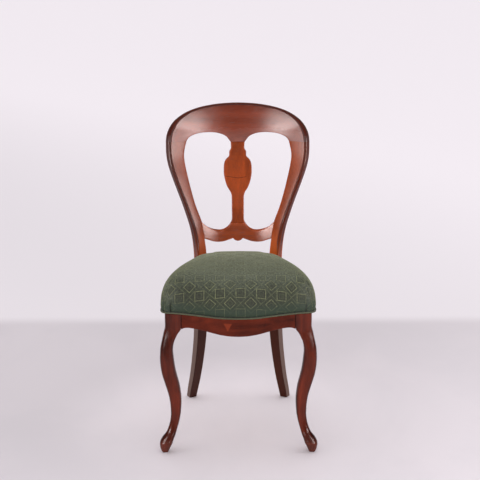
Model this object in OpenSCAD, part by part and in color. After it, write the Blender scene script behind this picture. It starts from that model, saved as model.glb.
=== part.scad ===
// Balloon back dining chair, built as the real chair is jointed.
// Units are millimetres. X runs across the chair, Y from front to back, Z up.
// The origin is on the floor under the middle of the whole chair.

/* [Overall size] */
// floor to the top of the crest
chair_h = 921.5; // [860:0.5:980]
// depth that the plan positions are shares of
chair_d = 540; // [500:1:580]
// outside width of the hoop at its widest
hoop_w = 428.8; // [400:0.4:460]
// outside width across the front toes
foot_w = 442.4; // [420:0.4:470]

/* [Back] */
// side of the square post stock
post_t = 30.7; // [28:0.1:34]
// radius of the dished back seen from above
dish_r = 420; // [380:5:520]
// how far the back leans, as a slope
lean_share = 0.235; // [0.2:0.005:0.27]
// thickness of the splat
splat_t = 16; // [14:0.5:18]
// thickness of the cross rail
cross_t = 20; // [18:0.5:22]
// width of the sunk bead round the hoop
bead_w = 11.5; // [9:0.5:13]
// depth of the sunk bead
bead_drop = 2.4; // [1.5:0.1:3]
// chamfer on the post and crest edges
edge_c = 3; // [2:0.5:3.5]

/* [Front legs] */
// side of the front post block
leg_t = 45.6; // [42:0.2:48]

/* [Seat frame] */
// thickness of the front rail
front_rail_t = 30; // [28:0.5:32]
// thickness of the rear rail
rear_rail_t = 20; // [18:0.5:22]
// outward bow of each side rail
side_bow = 9; // [4:0.5:10]
// height of the webbing ledge under the rail tops
ledge_drop = 38.8; // [37:0.2:40]
// width of the show face left in front of the ledge
show_t = 11; // [9:0.5:12]
// depth a rail sinks into the back posts
house_d = 4; // [3:0.5:5]
// height of the corner blocks
block_h = 26; // [22:1:30]

/* [Fasteners] */
// dowel diameter in the seat frame
dowel_d = 8; // [6:0.5:8.5]
// dowel length in the seat frame
dowel_l = 28; // [22:1:30]
// dowel diameter at the crest
crest_dowel_d = 8; // [6:0.5:9]
// dowel length at the crest
crest_dowel_l = 36; // [28:1:40]
// dowel diameter at the cross rail
cross_dowel_d = 6; // [5:0.5:7]
// dowel length at the cross rail
cross_dowel_l = 22; // [18:1:24]
// screw shank diameter
screw_d = 3.6; // [3:0.1:4]
// screw length under the head
screw_l = 28; // [24:1:30]
// tack head diameter
tack_head_d = 6.4; // [5:0.2:7]
// tack length under the head
tack_l = 8.4; // [7:0.2:9]

/* [Upholstery] */
// thickness of one webbing strap
strap_t = 1.8; // [1.4:0.1:2]
// width of one webbing strap
strap_w = 50; // [44:1:52]
// spring wire diameter
wire_d = 3.6; // [3:0.1:4]
// radius of the spring end coils
coil_r = 29; // [26:0.5:30]
// radius of the spring waist
waist_r = 19; // [17:0.5:22]
// thickness of the seat cover cloth
cover_t = 1.6; // [1.2:0.1:2]
// thickness of the canvas over the springs
canvas_t = 1.4; // [1.2:0.1:1.8]
// diameter of the piping cord
cord_d = 4.8; // [4:0.2:5.4]

/* [Fits] */
// running room between wood and wood
fit = 0.15; // [0.1:0.05:0.25]
// room between soft pieces
soft_fit = 0.3; // [0.25:0.05:0.4]

/* [Hidden] */
// Outlines as shares: heights of chair_h, widths of half a width, depths of chair_d.
// back post rows: height, outer, inner, depth, turn in degrees, thickness of post_t
post_shares = [
  [0,0.7626,0.6133,0.763,30,0.7492], [0.0304,0.7477,0.5868,0.7537,30,0.798], [0.0612,0.7248,0.5569,0.7457,30,0.8339],
  [0.0922,0.7048,0.5326,0.738,30,0.8795], [0.153,0.6744,0.4921,0.7228,30,0.9316], [0.2127,0.6511,0.4613,0.7093,30,0.9772],
  [0.2561,0.6409,0.4459,0.7009,30,0.9935], [0.3744,0.6269,0.4338,0.6837,30,1], [0.4395,0.6222,0.4347,0.6819,30,0.9935],
  [0.51,0.6203,0.437,0.6796,30,0.9772], [0.5491,0.6297,0.452,0.6824,29.5,0.9577], [0.568,0.6385,0.4641,0.6852,29.1,0.9479],
  [0.5958,0.6595,0.4813,0.6896,28.6,0.9381], [0.624,0.6908,0.4991,0.6948,28,0.9251], [0.6413,0.715,0.528,0.6981,27.7,0.9186],
  [0.6674,0.7523,0.5714,0.7043,27.2,0.9121], [0.6934,0.7924,0.6082,0.7109,26.8,0.9023], [0.719,0.834,0.6385,0.718,26.4,0.8925],
  [0.7444,0.8755,0.6684,0.7256,26,0.886], [0.7705,0.916,0.6945,0.7333,25.8,0.8795], [0.7954,0.9534,0.7201,0.7417,25.6,0.873],
  [0.815,0.9767,0.736,0.7487,25.4,0.8664], [0.8334,0.9916,0.7472,0.7556,25.3,0.8599], [0.8464,0.9972,0.7449,0.7607,25.2,0.8567],
  [0.8595,0.9995,0.7341,0.7657,25.1,0.8534], [0.8812,0.9991,0.7104,0.7741,25,0.8469]];
// front leg rows: height, middle across, middle in depth, half width of leg_t, squareness
leg_shares = [
  [0,0.9313,0,0.2083,0], [0.0095,0.9331,0,0.2851,0], [0.0228,0.9241,0.0019,0.3684,0], [0.0358,0.9109,0.0056,0.4101,0],
  [0.0488,0.8807,0.0148,0.364,0], [0.0619,0.8549,0.0241,0.3224,0], [0.0753,0.8341,0.0306,0.2982,0], [0.0884,0.8165,0.0361,0.2982,0],
  [0.1015,0.8038,0.0407,0.2917,0], [0.1145,0.7939,0.0435,0.2961,0], [0.14,0.7884,0.0454,0.3092,0], [0.166,0.7929,0.0444,0.3443,0],
  [0.1921,0.8097,0.0398,0.3794,0], [0.2178,0.8332,0.0343,0.4079,0], [0.2431,0.8617,0.0278,0.4232,0], [0.2691,0.8838,0.0241,0.4276,0],
  [0.2941,0.8951,0.0231,0.4232,0], [0.3197,0.8987,0.0259,0.3904,0], [0.3451,0.8829,0.0352,0.3838,0.1], [0.3576,0.8662,0.0417,0.4057,0.3],
  [0.37,0.849,0.0481,0.432,0.6], [0.3809,0.83,0.0531,0.4759,0.9], [0.3863,0.8142,0.0546,0.5,1], [0.4349,0.8142,0.0546,0.5,1]];
// crest stations: outer width and height, inner width and height
crest_shares = [
  [0.9991,0.8812,0.7104,0.8812], [0.9944,0.8931,0.6926,0.8882], [0.9818,0.905,0.666,0.8942], [0.9608,0.9164,0.6203,0.899],
  [0.9258,0.9295,0.5616,0.9032], [0.8769,0.9432,0.4944,0.9053], [0.8069,0.9569,0.4244,0.9059], [0.7183,0.9696,0.3591,0.9054],
  [0.611,0.9797,0.2985,0.9037], [0.4991,0.987,0.2425,0.9005], [0.3871,0.9924,0.1959,0.8963], [0.2799,0.9964,0.1562,0.8905],
  [0.1866,0.9986,0.1278,0.8823], [0.1119,0.9995,0.0984,0.8731], [0.0466,0.9999,0.042,0.8731], [0,1,0,0.8731]];
// cross rail stations: top width and height, bottom width and height
cross_shares = [
  [0.4991,0.624,0.4641,0.568], [0.4781,0.6167,0.4338,0.5654], [0.4515,0.6104,0.4011,0.5623], [0.4104,0.6031,0.3605,0.5588],
  [0.3629,0.5972,0.3125,0.556], [0.2985,0.5921,0.2659,0.5551], [0.2402,0.5906,0.2169,0.5558], [0.1959,0.5927,0.1712,0.558],
  [0.1609,0.5972,0.1283,0.5616], [0.1306,0.6034,0.0919,0.5644], [0.1101,0.6105,0.0695,0.5664], [0.1012,0.6148,0.0452,0.5607],
  [0.056,0.6148,0.0257,0.5584], [0,0.6148,0,0.5577]];
// splat rows: height, half width
splat_shares = [
  [0.6151,0.1012], [0.6186,0.0933], [0.6244,0.0868], [0.637,0.0835], [0.65,0.0844], [0.688,0.0854],
  [0.701,0.0863], [0.7137,0.1021], [0.7265,0.1385], [0.739,0.1628], [0.752,0.1796], [0.7647,0.1917],
  [0.7775,0.1978], [0.79,0.1973], [0.803,0.1926], [0.8157,0.1707], [0.8215,0.1446], [0.8258,0.1231],
  [0.8291,0.1194], [0.8421,0.1203], [0.8454,0.1147], [0.8486,0.0975], [0.8539,0.0942], [0.8667,0.0965],
  [0.8728,0.0984]];
// front rail plan: width, depth of the show face
rail_front_shares = [
  [0,-0.0722], [0.0995,-0.0704], [0.1989,-0.0644], [0.2984,-0.0522], [0.3933,-0.0361], [0.4928,-0.0204],
  [0.5877,-0.0048], [0.7107,0.0156]];
// front rail lower edge: width, height
rail_low_shares = [
  [0,0.3811], [0.0904,0.3818], [0.1808,0.3837], [0.2712,0.3865], [0.3617,0.3898], [0.4521,0.3928],
  [0.5335,0.3948], [0.6013,0.3953], [0.6555,0.3937], [0.7107,0.3881]];
// seat outline at the piping, front middle to front corner: width, depth
seat_front_shares = [
  [0,-0.0778], [0.1989,-0.0704], [0.3933,-0.0417], [0.5877,-0.0104], [0.7866,0.0222], [0.8951,0.0444],
  [0.9494,0.0713], [0.9656,0.1111]];
// seat sides: share of the way from the front corner to the post, outward bow as a share of it
seat_side_shares = [
  [0.119505,0.0214448], [0.313827,0.0324507], [0.538993,0.0236025], [0.750416,0.0125973], [0.917275,0.00672793]];
// seat outline from the post to the rear middle: share of the post's place, then across and in depth by its width
seat_rear_shares = [
  [1,1.37755,-0.825475], [1,1.12166,-0.631005], [1,0.831664,-0.56277], [1,-0.0519815,-0.0646528], [1,-0.0724521,0.419817],
  [1,-0.0383345,0.829228], [1,-0.311275,0.982757], [0.483229,0,1.03393], [0,0,1.03393]];
// the same without the post notch, for the crown
soft_rear_shares = [
  [1,1.46284,-1.01312], [1,1.29225,-0.671946], [1,1.01931,-0.296652], [1,0.575782,0.112759], [1,0.200489,0.419817],
  [1,-0.10657,0.624522], [0.81612,0,0.79511], [0.429537,0,0.965698], [0,0,1.03393]];
// cover section from its widest line to the crown: share of the outline, share of the dome
cover_shares = [
  [1.0025,0.18], [1,0.29], [0.957,0.49], [0.885,0.665], [0.775,0.808], [0.62,0.906],
  [0.42,0.961], [0.2,0.991]];
// canvas section over the springs: share of the outline, share of the dome
canvas_shares = [
  [0.882,0], [0.845,0.001], [0.8,0.095], [0.74,0.29], [0.66,0.482], [0.5,0.497], [0.3,0.505]];
cover_most_share = 1.0025;
cover_hem_share = 0.887;
canvas_crown_share = 0.508;
// piping stations counted along the outline
cord_front_steps = 14;
cord_rear_steps = 19;

// Turns the shares above into sizes.
half_w = hoop_w / 2;
half_f = foot_w / 2;
function mix(a, b, t) = a + (b - a) * t;
function side_dir(t) = [cos(t), -sin(t)];
function deep_dir(t) = [sin(t), cos(t)];
function turned_about(half) = concat(half, [for (i = [len(half) - 2:-1:0]) flip(half[i])]);
function flip(r) = [for (i = [0:len(r) - 1]) i % 2 == 0 ? -r[i] : r[i]];

// Rings of points joined into one closed skin.
function joined(rings) = [for (r = rings) for (p = r) p];
function skin_faces(n, m) = [for (k = [0:n - 2]) for (i = [0:m - 1]) for (h = [0, 1])
    let (j = (i + 1) % m, a = k * m + i, b = k * m + m + i, c = k * m + m + j, d = k * m + j)
    h == 0 ? [a, b, c] : [a, c, d]];
module loft(rings) {
    n = len(rings);
    m = len(rings[0]);
    polyhedron(points = joined(rings), convexity = 6, faces = concat(
        [[for (i = [0:m - 1]) i], [for (i = [m - 1:-1:0]) (n - 1) * m + i]], skin_faces(n, m)));
}
module dome_loft(rings, low, high) {
    n = len(rings);
    m = len(rings[0]);
    q = n * m;
    polyhedron(points = concat(joined(rings), [low, high]), convexity = 6, faces = concat(
        [for (i = [0:m - 1]) [q, i, (i + 1) % m]],
        [for (i = [0:m - 1]) [q - m + i, q + 1, q - m + (i + 1) % m]], skin_faces(n, m)));
}

// Back posts: table, corner point and section outline.
post_table = [for (r = post_shares)
    [r[0] * chair_h, r[1] * half_w, r[2] * half_w, r[3] * chair_d, r[4], r[5] * post_t]];
function post_v(z, i) = lookup(z, [for (r = post_table) [r[0], r[i]]]);
function post_turn(z) = post_v(z, 4);
function post_wide(z) = (post_v(z, 1) - post_v(z, 2) - post_v(z, 5) * sin(post_turn(z))) / cos(post_turn(z));
function post_pt(z, a, b) = let (t = post_turn(z))
    [mix(post_v(z, 1), post_v(z, 2), 1 / 2), post_v(z, 3)]
    + side_dir(t) * (a - post_wide(z) / 2) + deep_dir(t) * (b - post_v(z, 5) / 2);
bead_low_share = 0.52;
bead_high_share = 0.56;
function bead_fade(z) = min(1, max(0, (z / chair_h - bead_low_share) / (bead_high_share - bead_low_share)));
function back_outline(f, d, m) = [[0, edge_c], [edge_c, 0], [(f - bead_w) / 2, 0],
    [f - mix(edge_c, bead_w, m), 0], [f - mix(edge_c * 0.7, bead_w * 0.8, m), mix(edge_c * 0.3, bead_drop, m)],
    [f - mix(edge_c * 0.3, bead_w * 0.2, m), mix(edge_c * 0.7, bead_drop * 1.1, m)],
    [f, mix(edge_c, edge_c + bead_drop * 1.6, m)], [f, d - edge_c], [f - edge_c, d],
    [f / 2, d], [edge_c, d], [0, d - edge_c]];
post_rings = [for (r = post_table) [for (p = back_outline(post_wide(r[0]), r[5], bead_fade(r[0])))
    let (q = post_pt(r[0], p[0], p[1])) [q[0], q[1], r[0]]]];

// Dished and leaning sheet that the crest, splat and cross rail follow.
joint_z = post_table[len(post_table) - 1][0];
function dish(x) = dish_r - sqrt(dish_r * dish_r - x * x);
joint_in = post_pt(joint_z, 0, 0);
sheet_mid = joint_in[1] + dish(joint_in[0]);
function sheet(x, z) = sheet_mid + lean_share * (z - joint_z) - dish(x);

// Crest rail stations, from the right joint over the top to the left joint.
crest_d = post_table[len(post_table) - 1][5];
crest_rows = turned_about([for (r = crest_shares)
    [r[0] * half_w, r[1] * chair_h, r[2] * half_w, r[3] * chair_h]]);
crest_last = len(crest_rows) - 1;
function crest_ring(k) = let (s = crest_rows[k], turn = asin((s[0] + s[2]) / 2 / dish_r),
    end = k == 0 || k == crest_last, lift = end ? fit : 0,
    o = [s[0] - crest_d * sin(turn), s[1] + lift], i = [s[2], s[3] + lift], f = norm(o - i),
    rise = (s[1] - joint_z) / (chair_h - joint_z))
    [for (p = back_outline(f, crest_d, 1)) let (t = p[0] / f, x = mix(i[0], o[0], t), z = mix(i[1], o[1], t),
        y = end ? mix(sheet(i[0], i[1]), sheet(o[0], o[1]), t) : sheet(x, z))
        [x + p[1] * sin(turn), y + p[1] * cos(turn), z - p[1] * lean_share * rise * t]];

// Cross rail stations, from the right post to the left post.
cross_rows = turned_about([for (r = cross_shares)
    [r[0] * half_w, r[1] * chair_h, r[2] * half_w, r[3] * chair_h]]);
cross_last = len(cross_rows) - 1;
cross_c = edge_c * 0.8;
twist_power = 1.6;
function plain_outline(f, d, c) = [[0, c], [c, 0], [f / 2, 0], [f - c, 0], [f, c],
    [f, d - c], [f - c, d], [f / 2, d], [c, d], [0, d - c]];
function cross_end_x(x, z) = let (p = post_pt(z, 0, 0))
    p[0] + (sheet(x, z) - p[1]) * tan(post_turn(z)) - fit;
function cross_ring(k) = let (s = cross_rows[k], end = k == 0 || k == cross_last, g = sign(s[0]),
    o = [end ? g * cross_end_x(abs(s[0]), s[1]) : s[0], s[1]],
    i = [end ? g * cross_end_x(abs(s[2]), s[3]) : s[2], s[3]],
    f = norm(o - i), far = cross_rows[0][0])
    [for (p = plain_outline(f, cross_t, cross_c)) let (t = p[0] / f, x = mix(i[0], o[0], t), z = mix(i[1], o[1], t),
        turn = g * (end ? post_turn(z) : post_turn(cross_rows[0][1]) * pow(abs(x) / far, twist_power)))
        [x + p[1] * sin(turn), sheet(x, z) + p[1] * cos(turn), z]];

// Splat rings, from the cross rail up to the crest.
splat_c = edge_c * 0.7;
splat_in = post_t * 0.03;
function splat_ring(r) = let (z = r[0] * chair_h, f = 2 * r[1] * half_w)
    [for (p = plain_outline(f, splat_t, splat_c)) let (x = p[0] - f / 2) [x, sheet(x, z) + splat_in + p[1], z]];
splat_low = splat_shares[0][0] * chair_h;
splat_high = splat_shares[len(splat_shares) - 1][0] * chair_h;
tenon_w = splat_t * 1.6;
tenon_t = splat_t * 0.5;
tenon_l = splat_t * 0.9;
module splat_tenon(z, g) {
    translate([0, sheet(0, z) + splat_in + splat_t / 2, z]) rotate([-atan(lean_share), 0, 0])
        cube([tenon_w + 2 * g, tenon_t + 2 * g, 2 * tenon_l + 2 * g], center = true);
}

// Front legs: rounded section below, pentagon block above.
round_shares = [[-1, -0.4], [-0.78, -0.78], [-0.4, -1], [0.52, -1], [0.8, -0.8], [1, -0.52],
    [1, 0.4], [0.78, 0.78], [0.4, 1], [-0.4, 1], [-0.78, 0.78], [-1, 0.4]];
block_shares = [[-1, -0.88], [-0.98, -0.955], [-0.9, -0.95], [0.66, -0.3], [0.9, -0.14], [1, 0.12],
    [1, 0.85], [0.98, 0.98], [0.85, 1], [-0.85, 1], [-0.98, 0.98], [-1, 0.85]];
leg_table = [for (r = leg_shares) [r[0] * chair_h, r[1] * half_f, r[2] * chair_d, r[3] * leg_t, r[4]]];
leg_rings = [for (r = leg_table) [for (i = [0:11])
    [r[1] + r[3] * mix(round_shares[i][0], block_shares[i][0], r[4]),
     r[2] + r[3] * mix(round_shares[i][1], block_shares[i][1], r[4]), r[0]]]];
leg_top = leg_table[len(leg_table) - 1];
rail_top = leg_top[0];
leg_in = leg_top[1] - leg_top[3];
leg_back = leg_top[2] + leg_top[3];

// Seat frame levels and corner points on the back post.
ledge_z = rail_top - ledge_drop;
side_ledge_z = ledge_z - strap_t - soft_fit;
side_low = chair_h * 0.382;
frame_z = mix(ledge_z, rail_top, 1 / 2);
post_in = post_pt(frame_z, 0, 0);
post_out = post_pt(frame_z, post_wide(frame_z), 0);
frame_f = post_wide(frame_z);
frame_turn = post_turn(frame_z);

// Front rail: bowed plan, shaped lower edge, ledge for the webbing.
front_line = turned_about([for (r = [for (i = [len(rail_front_shares) - 1:-1:0]) rail_front_shares[i]])
    [-r[0] * half_f, r[1] * chair_d]]);
function front_y(x) = lookup(x, front_line);
front_end = leg_in - fit;
front_xs = [for (p = front_line) max(-front_end, min(front_end, p[0]))];
low_line = turned_about([for (r = [for (i = [len(rail_low_shares) - 1:-1:0]) rail_low_shares[i]])
    [-r[0] * half_f, r[1] * chair_h]]);
ledge_half = half_f * 0.43;
module front_rail_body() {
    intersection() {
        linear_extrude(height = rail_top) polygon(concat([for (x = front_xs) [x, front_y(x)]],
            [for (i = [len(front_xs) - 1:-1:0]) [front_xs[i], front_y(front_xs[i]) + front_rail_t]]));
        translate([0, chair_d, 0]) rotate([90, 0, 0]) linear_extrude(height = 2 * chair_d)
            polygon(concat([for (p = low_line) p], [[half_f, rail_top], [-half_f, rail_top]]));
    }
}
module front_ledge() {
    xs = [for (x = front_xs) if (abs(x) < ledge_half) x];
    all_xs = concat([-ledge_half], xs, [ledge_half]);
    linear_extrude(height = ledge_z) polygon(concat([for (x = all_xs) [x, front_y(x) + show_t]],
        [[ledge_half, chair_d / 5], [-ledge_half, chair_d / 5]]));
}

// Side rail plan for the right side; g widens it for the housing in the post.
bow_steps = 6;
side_a = [leg_top[1] + leg_top[3] * 0.84, leg_back + fit];
side_b = post_out + [-0.02, -0.25] * frame_f;
side_n = [side_b[1] - side_a[1], side_a[0] - side_b[0]] / norm(side_b - side_a);
function side_outer(t) = mix(side_a, side_b, t) + side_n * (side_bow * 4 * t * (1 - t));
side_in_a = [leg_top[1] - leg_top[3] * 0.25, leg_back + fit];
side_in_b = post_in + [0.15, -0.45] * frame_f;
function side_in_x(y) = mix(side_in_a[0], side_in_b[0], (y - side_in_a[1]) / (side_in_b[1] - side_in_a[1]));
side_out_line = [for (i = [0:bow_steps]) let (p = side_outer(i / bow_steps)) [p[1], p[0]]];
function side_out_x(y) = lookup(y, side_out_line);
function side_plan(g) = concat([side_in_a], [for (i = [0:bow_steps - 1]) side_outer(i / bow_steps)],
    [side_b + [g, 0],
     post_in + side_dir(frame_turn) * (0.87 * frame_f + g) + deep_dir(frame_turn) * (house_d + g),
     post_in + side_dir(frame_turn) * (0.135 * frame_f - g) + deep_dir(frame_turn) * (house_d + g),
     side_in_b - [g, 0]]);
side_ledge_from = chair_d * 0.145;
side_ledge_to = chair_d * 0.59;
module side_ledge() {
    ys = [for (p = side_out_line) if (p[0] > side_ledge_from && p[0] < side_ledge_to) p[0]];
    all_ys = concat([side_ledge_from], ys, [side_ledge_to]);
    linear_extrude(height = side_ledge_z) polygon(concat([for (y = all_ys) [side_out_x(y) - show_t, y]],
        [[0, side_ledge_to], [0, side_ledge_from]]));
}
module side_rail_body(g) {
    translate([0, 0, side_low - g]) linear_extrude(height = rail_top - side_low + 2 * g) polygon(side_plan(g));
}

// Rear rail between the posts.
rear_y = post_in[1] + 0.13 * frame_f;
function rear_end(y) = post_in[0] + (y - post_in[1]) * tan(frame_turn) + house_d / cos(frame_turn);
module rear_rail_body(g) {
    y0 = rear_y - g;
    y1 = rear_y + rear_rail_t + g;
    a = rear_end(y0) + g;
    b = rear_end(y1) + g;
    translate([0, 0, side_low - g]) linear_extrude(height = rail_top - side_low + 2 * g)
        polygon([[-a, y0], [a, y0], [b, y1], [-b, y1]]);
}

// Dowels of the right side: plan point and turn of the axis.
dowel_zs = [rail_top - ledge_drop * 0.28, rail_top - ledge_drop * 0.7];
dowel_plan = [[leg_in, leg_top[2] - leg_top[3] * 0.3, 0], [leg_top[1] + leg_top[3] * 0.28, leg_back, 90],
    [post_in[0] + frame_f * 0.49, post_in[1] - frame_f * 0.2, 90],
    [post_in[0] + frame_f * 0.23, rear_y + rear_rail_t / 2, 0]];
module peg(p, turn, d, l) {
    translate(p) rotate([0, 90, turn]) cylinder(h = l, d = d, center = true, $fn = 40);
}
module seat_dowels(g) {
    for (z = dowel_zs) for (q = dowel_plan) peg([q[0], q[1], z], q[2], dowel_d + 2 * g, dowel_l + 2 * g);
}
module crest_pegs(g) {
    f = post_wide(joint_z);
    for (a = [0.28, 0.72]) let (q = post_pt(joint_z, f * a, crest_d / 2))
        translate([q[0], q[1], joint_z]) rotate([-atan(lean_share), 0, 0])
            cylinder(h = crest_dowel_l + 2 * g, d = crest_dowel_d + 2 * g, center = true, $fn = 40);
}
cross_low = cross_rows[0][3];
cross_high = cross_rows[0][1];
module cross_pegs(g) {
    for (t = [0.25, 0.58]) let (z = mix(cross_low, cross_high, t), q = post_pt(z, 0, post_v(z, 5) / 2))
        peg([q[0], q[1], z], -post_turn(z) * 0.7, cross_dowel_d + 2 * g, cross_dowel_l + 2 * g);
}

// Corner blocks in plan, right side.
block_z = rail_top - block_h - block_h * 0.15;
front_in_b = [leg_in - fit, front_y(leg_in - fit) + front_rail_t + fit];
front_block_x = half_f * 0.51;
front_block_plan = [[front_block_x, front_y(front_block_x) + front_rail_t + fit], front_in_b,
    [leg_in - fit, leg_back + fit], [side_in_x(leg_back + fit) - fit, leg_back + fit],
    [side_in_x(chair_d * 0.18) - fit, chair_d * 0.18]];
rear_block_plan = [[half_f * 0.22, rear_y - fit], [post_in[0] - frame_f * 0.04, rear_y - fit],
    post_in + [-0.04, -0.02] * frame_f, post_in + [0.1, -0.09] * frame_f,
    [side_in_x(post_in[1] - frame_f * 0.4) - fit, post_in[1] - frame_f * 0.4],
    [side_in_x(chair_d * 0.575) - fit, chair_d * 0.575]];
module corner_block(plan) {
    difference() {
        translate([0, 0, block_z]) linear_extrude(height = block_h) polygon(plan);
        block_screws(fit);
    }
}

// Countersunk screws: point on the rail face, turn of the axis.
front_slope = atan((front_y(front_end) - front_y(front_block_x)) / (front_end - front_block_x));
side_slope = atan((side_in_a[0] - side_in_b[0]) / (side_in_b[1] - side_in_a[1]));
screw_x = mix(front_block_x, front_end, 0.45);
screw_y1 = chair_d * 0.139;
screw_y2 = chair_d * 0.622;
screw_plan = [[screw_x, front_y(screw_x) + front_rail_t, front_slope - 90],
    [side_in_x(screw_y1), screw_y1, side_slope], [side_in_x(screw_y2), screw_y2, side_slope],
    [half_f * 0.325, rear_y, 90]];
screw_in_share = 0.46;
head_d = screw_d * 2;
head_h = screw_d * 0.65;
module block_screws(g) {
    for (q = screw_plan) translate([q[0], q[1], block_z + block_h / 2]) rotate([0, 90, q[2]])
        translate([0, 0, -screw_l * screw_in_share]) difference() {
            union() {
                translate([0, 0, -g]) cylinder(h = head_h + g, d1 = head_d + 2 * g, d2 = screw_d + 2 * g, $fn = 40);
                cylinder(h = screw_l * 0.8 + g, d = screw_d + 2 * g, $fn = 40);
                translate([0, 0, screw_l * 0.8 + g]) cylinder(h = screw_l * 0.2, d1 = screw_d + 2 * g, d2 = screw_d / 4, $fn = 40);
                if (g > 0) translate([0, 0, -screw_l]) cylinder(h = screw_l - g, d = head_d + 2 * g, $fn = 40);
            }
            if (g == 0) cube([head_h * 1.2, head_d * 2, head_h * 0.4], center = true);
        }
}

// Webbing straps and their tacks.
long_xs = [-half_f * 0.28, 0, half_f * 0.28];
cross_ys = [chair_d * 0.204, chair_d * 0.361, chair_d * 0.518];
long_top = ledge_z - fit;
cross_top = side_ledge_z - fit;
rear_strap_y = rear_y + rear_rail_t - show_t - fit;
strap_back = fit * 6;
strap_set = fit * 8;
function strap_front_y(x) = front_y(x) + show_t + strap_set;
function strap_side_x(y) = side_out_x(y) - show_t - strap_set;
module long_straps() {
    for (x = long_xs) let (a = x - strap_w / 2, b = x + strap_w / 2)
        translate([0, 0, long_top - strap_t]) linear_extrude(height = strap_t)
            polygon([[a, strap_front_y(a)], [x, strap_front_y(x)], [b, strap_front_y(b)],
                [b, rear_strap_y - strap_back], [a, rear_strap_y - strap_back]]);
}
module cross_straps() {
    for (y = cross_ys) let (a = y - strap_w / 2, b = y + strap_w / 2)
        translate([0, 0, cross_top - strap_t]) linear_extrude(height = strap_t)
            polygon([[-strap_side_x(a), a], [strap_side_x(a), a], [strap_side_x(y), y], [strap_side_x(b), b],
                [-strap_side_x(b), b], [-strap_side_x(y), y]]);
}
tack_edge = tack_head_d * 1.35;
tack_steps = [-strap_w * 0.34, 0, strap_w * 0.34];
long_tacks = [for (x = long_xs) for (s = tack_steps) for (y = [strap_front_y(x + s) + tack_edge,
    rear_strap_y - strap_back - tack_head_d * 0.68]) [x + s, y, long_top - strap_t]];
cross_tacks = [for (y = cross_ys) for (s = tack_steps) for (g = [-1, 1])
    [g * (strap_side_x(y + s) - tack_head_d * 0.95), y + s, cross_top - strap_t]];
tack_shank_d = tack_head_d / 4;
module tacks(g) {
    for (p = concat(long_tacks, cross_tacks)) translate(p) {
        cylinder(h = tack_l + g, d1 = tack_shank_d + 2 * g, d2 = tack_shank_d / 3 + 2 * g, $fn = 24);
        if (g == 0) translate([0, 0, -tack_head_d * 0.14 - fit / 3])
            cylinder(h = tack_head_d * 0.14, d = tack_head_d, $fn = 24);
        if (g == 0) translate([0, 0, -fit]) cylinder(h = fit, d = tack_shank_d, $fn = 24);
    }
}

// Seat outline ring and the layers that follow it.
seat_mid = [0, chair_d * 0.315];
seat_reach = half_f * 0.965;
seat_z = rail_top + soft_fit;
dome_h = chair_h * 0.56 - seat_z;
seat_front = [for (r = seat_front_shares) [r[0] * half_f, r[1] * chair_d]];
function by_post(list) = [for (r = list) [r[0] * post_in[0] + r[1] * frame_f, post_in[1] + r[2] * frame_f]];
seat_rear = by_post(seat_rear_shares);
seat_way = seat_rear[0] - seat_front[len(seat_front) - 1];
seat_half = concat(seat_front, [for (r = seat_side_shares)
    seat_front[len(seat_front) - 1] + seat_way * r[0] + [seat_way[1], -seat_way[0]] * r[1]], seat_rear);
seat_line = concat(seat_half, [for (i = [len(seat_half) - 2:-1:1]) [-seat_half[i][0], seat_half[i][1]]]);
soft_rear = by_post(soft_rear_shares);
soft_from = len(seat_half) - len(soft_rear);
soft_half = [for (i = [0:len(seat_half) - 1]) i < soft_from ? seat_half[i] : soft_rear[i - soft_from]];
soft_line = concat(soft_half, [for (i = [len(soft_half) - 2:-1:1]) [-soft_half[i][0], soft_half[i][1]]]);
soft_start_share = 0.55;
function seat_ring(s, z) = let (w = min(1, max(0, (s - soft_start_share) / (0.96 - soft_start_share))))
    [for (i = [0:len(seat_line) - 1]) let (q = seat_mid + (mix(soft_line[i], seat_line[i], w) - seat_mid) * s)
        [q[0], q[1], z]];
cover_tuck = seat_reach - cord_d - soft_fit * 2.5;
cover_profile = concat([[cover_hem_share * seat_reach, seat_z], [cover_tuck, seat_z],
    [cover_tuck + cord_d * 0.04, seat_z + cord_d * 0.62], [seat_reach - cord_d * 0.76, seat_z + cord_d * 1.29],
    [seat_reach - cord_d * 0.13, seat_z + cord_d * 2.4]],
    [for (r = cover_shares) [r[0] * seat_reach, seat_z + r[1] * dome_h]]);
canvas_profile = [for (r = canvas_shares) [r[0] * seat_reach, seat_z + r[1] * dome_h]];
function edge_n(a, b) = [b[1] - a[1], a[0] - b[0]] / norm(b - a);
function moved(list, t) = let (n = len(list)) [for (k = [0:n - 1])
    let (u = edge_n(list[max(0, k - 1)], list[max(1, k)]), v = edge_n(list[min(n - 2, k)], list[min(n - 1, k + 1)]))
    list[k] + (u + v) / (1 + u * v) * t];
function profile_rings(list) = [for (p = list) seat_ring(p[0] / seat_reach, p[1])];
function backward(list) = [for (i = [len(list) - 1:-1:0]) list[i]];
function apex(z) = [seat_mid[0], seat_mid[1], z];
cover_top = seat_z + dome_h;
canvas_top = seat_z + canvas_crown_share * dome_h;
module seat_shell(inner, outer, low, high) {
    dome_loft(concat(backward(profile_rings(inner)), profile_rings(outer)), apex(low), apex(high));
}

// Piping cord along part of the outline.
cord_z = seat_z + cord_d / 2 + fit;
cord_path = seat_ring(1 - cord_d / 2 / seat_reach, cord_z);
function wrap(i) = (i + len(cord_path)) % len(cord_path);
module cord(from, to) {
    pts = [for (i = [from:to]) cord_path[wrap(i)]];
    n = len(pts);
    loft([for (k = [0:n - 1]) let (d = pts[min(n - 1, k + 1)] - pts[max(0, k - 1)], u = [d[1], -d[0], 0] / norm(d))
        [for (a = [0:45:315]) pts[k] + u * cos(a) * cord_d / 2 + [0, 0, sin(a) * cord_d / 2]]]);
}

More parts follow.
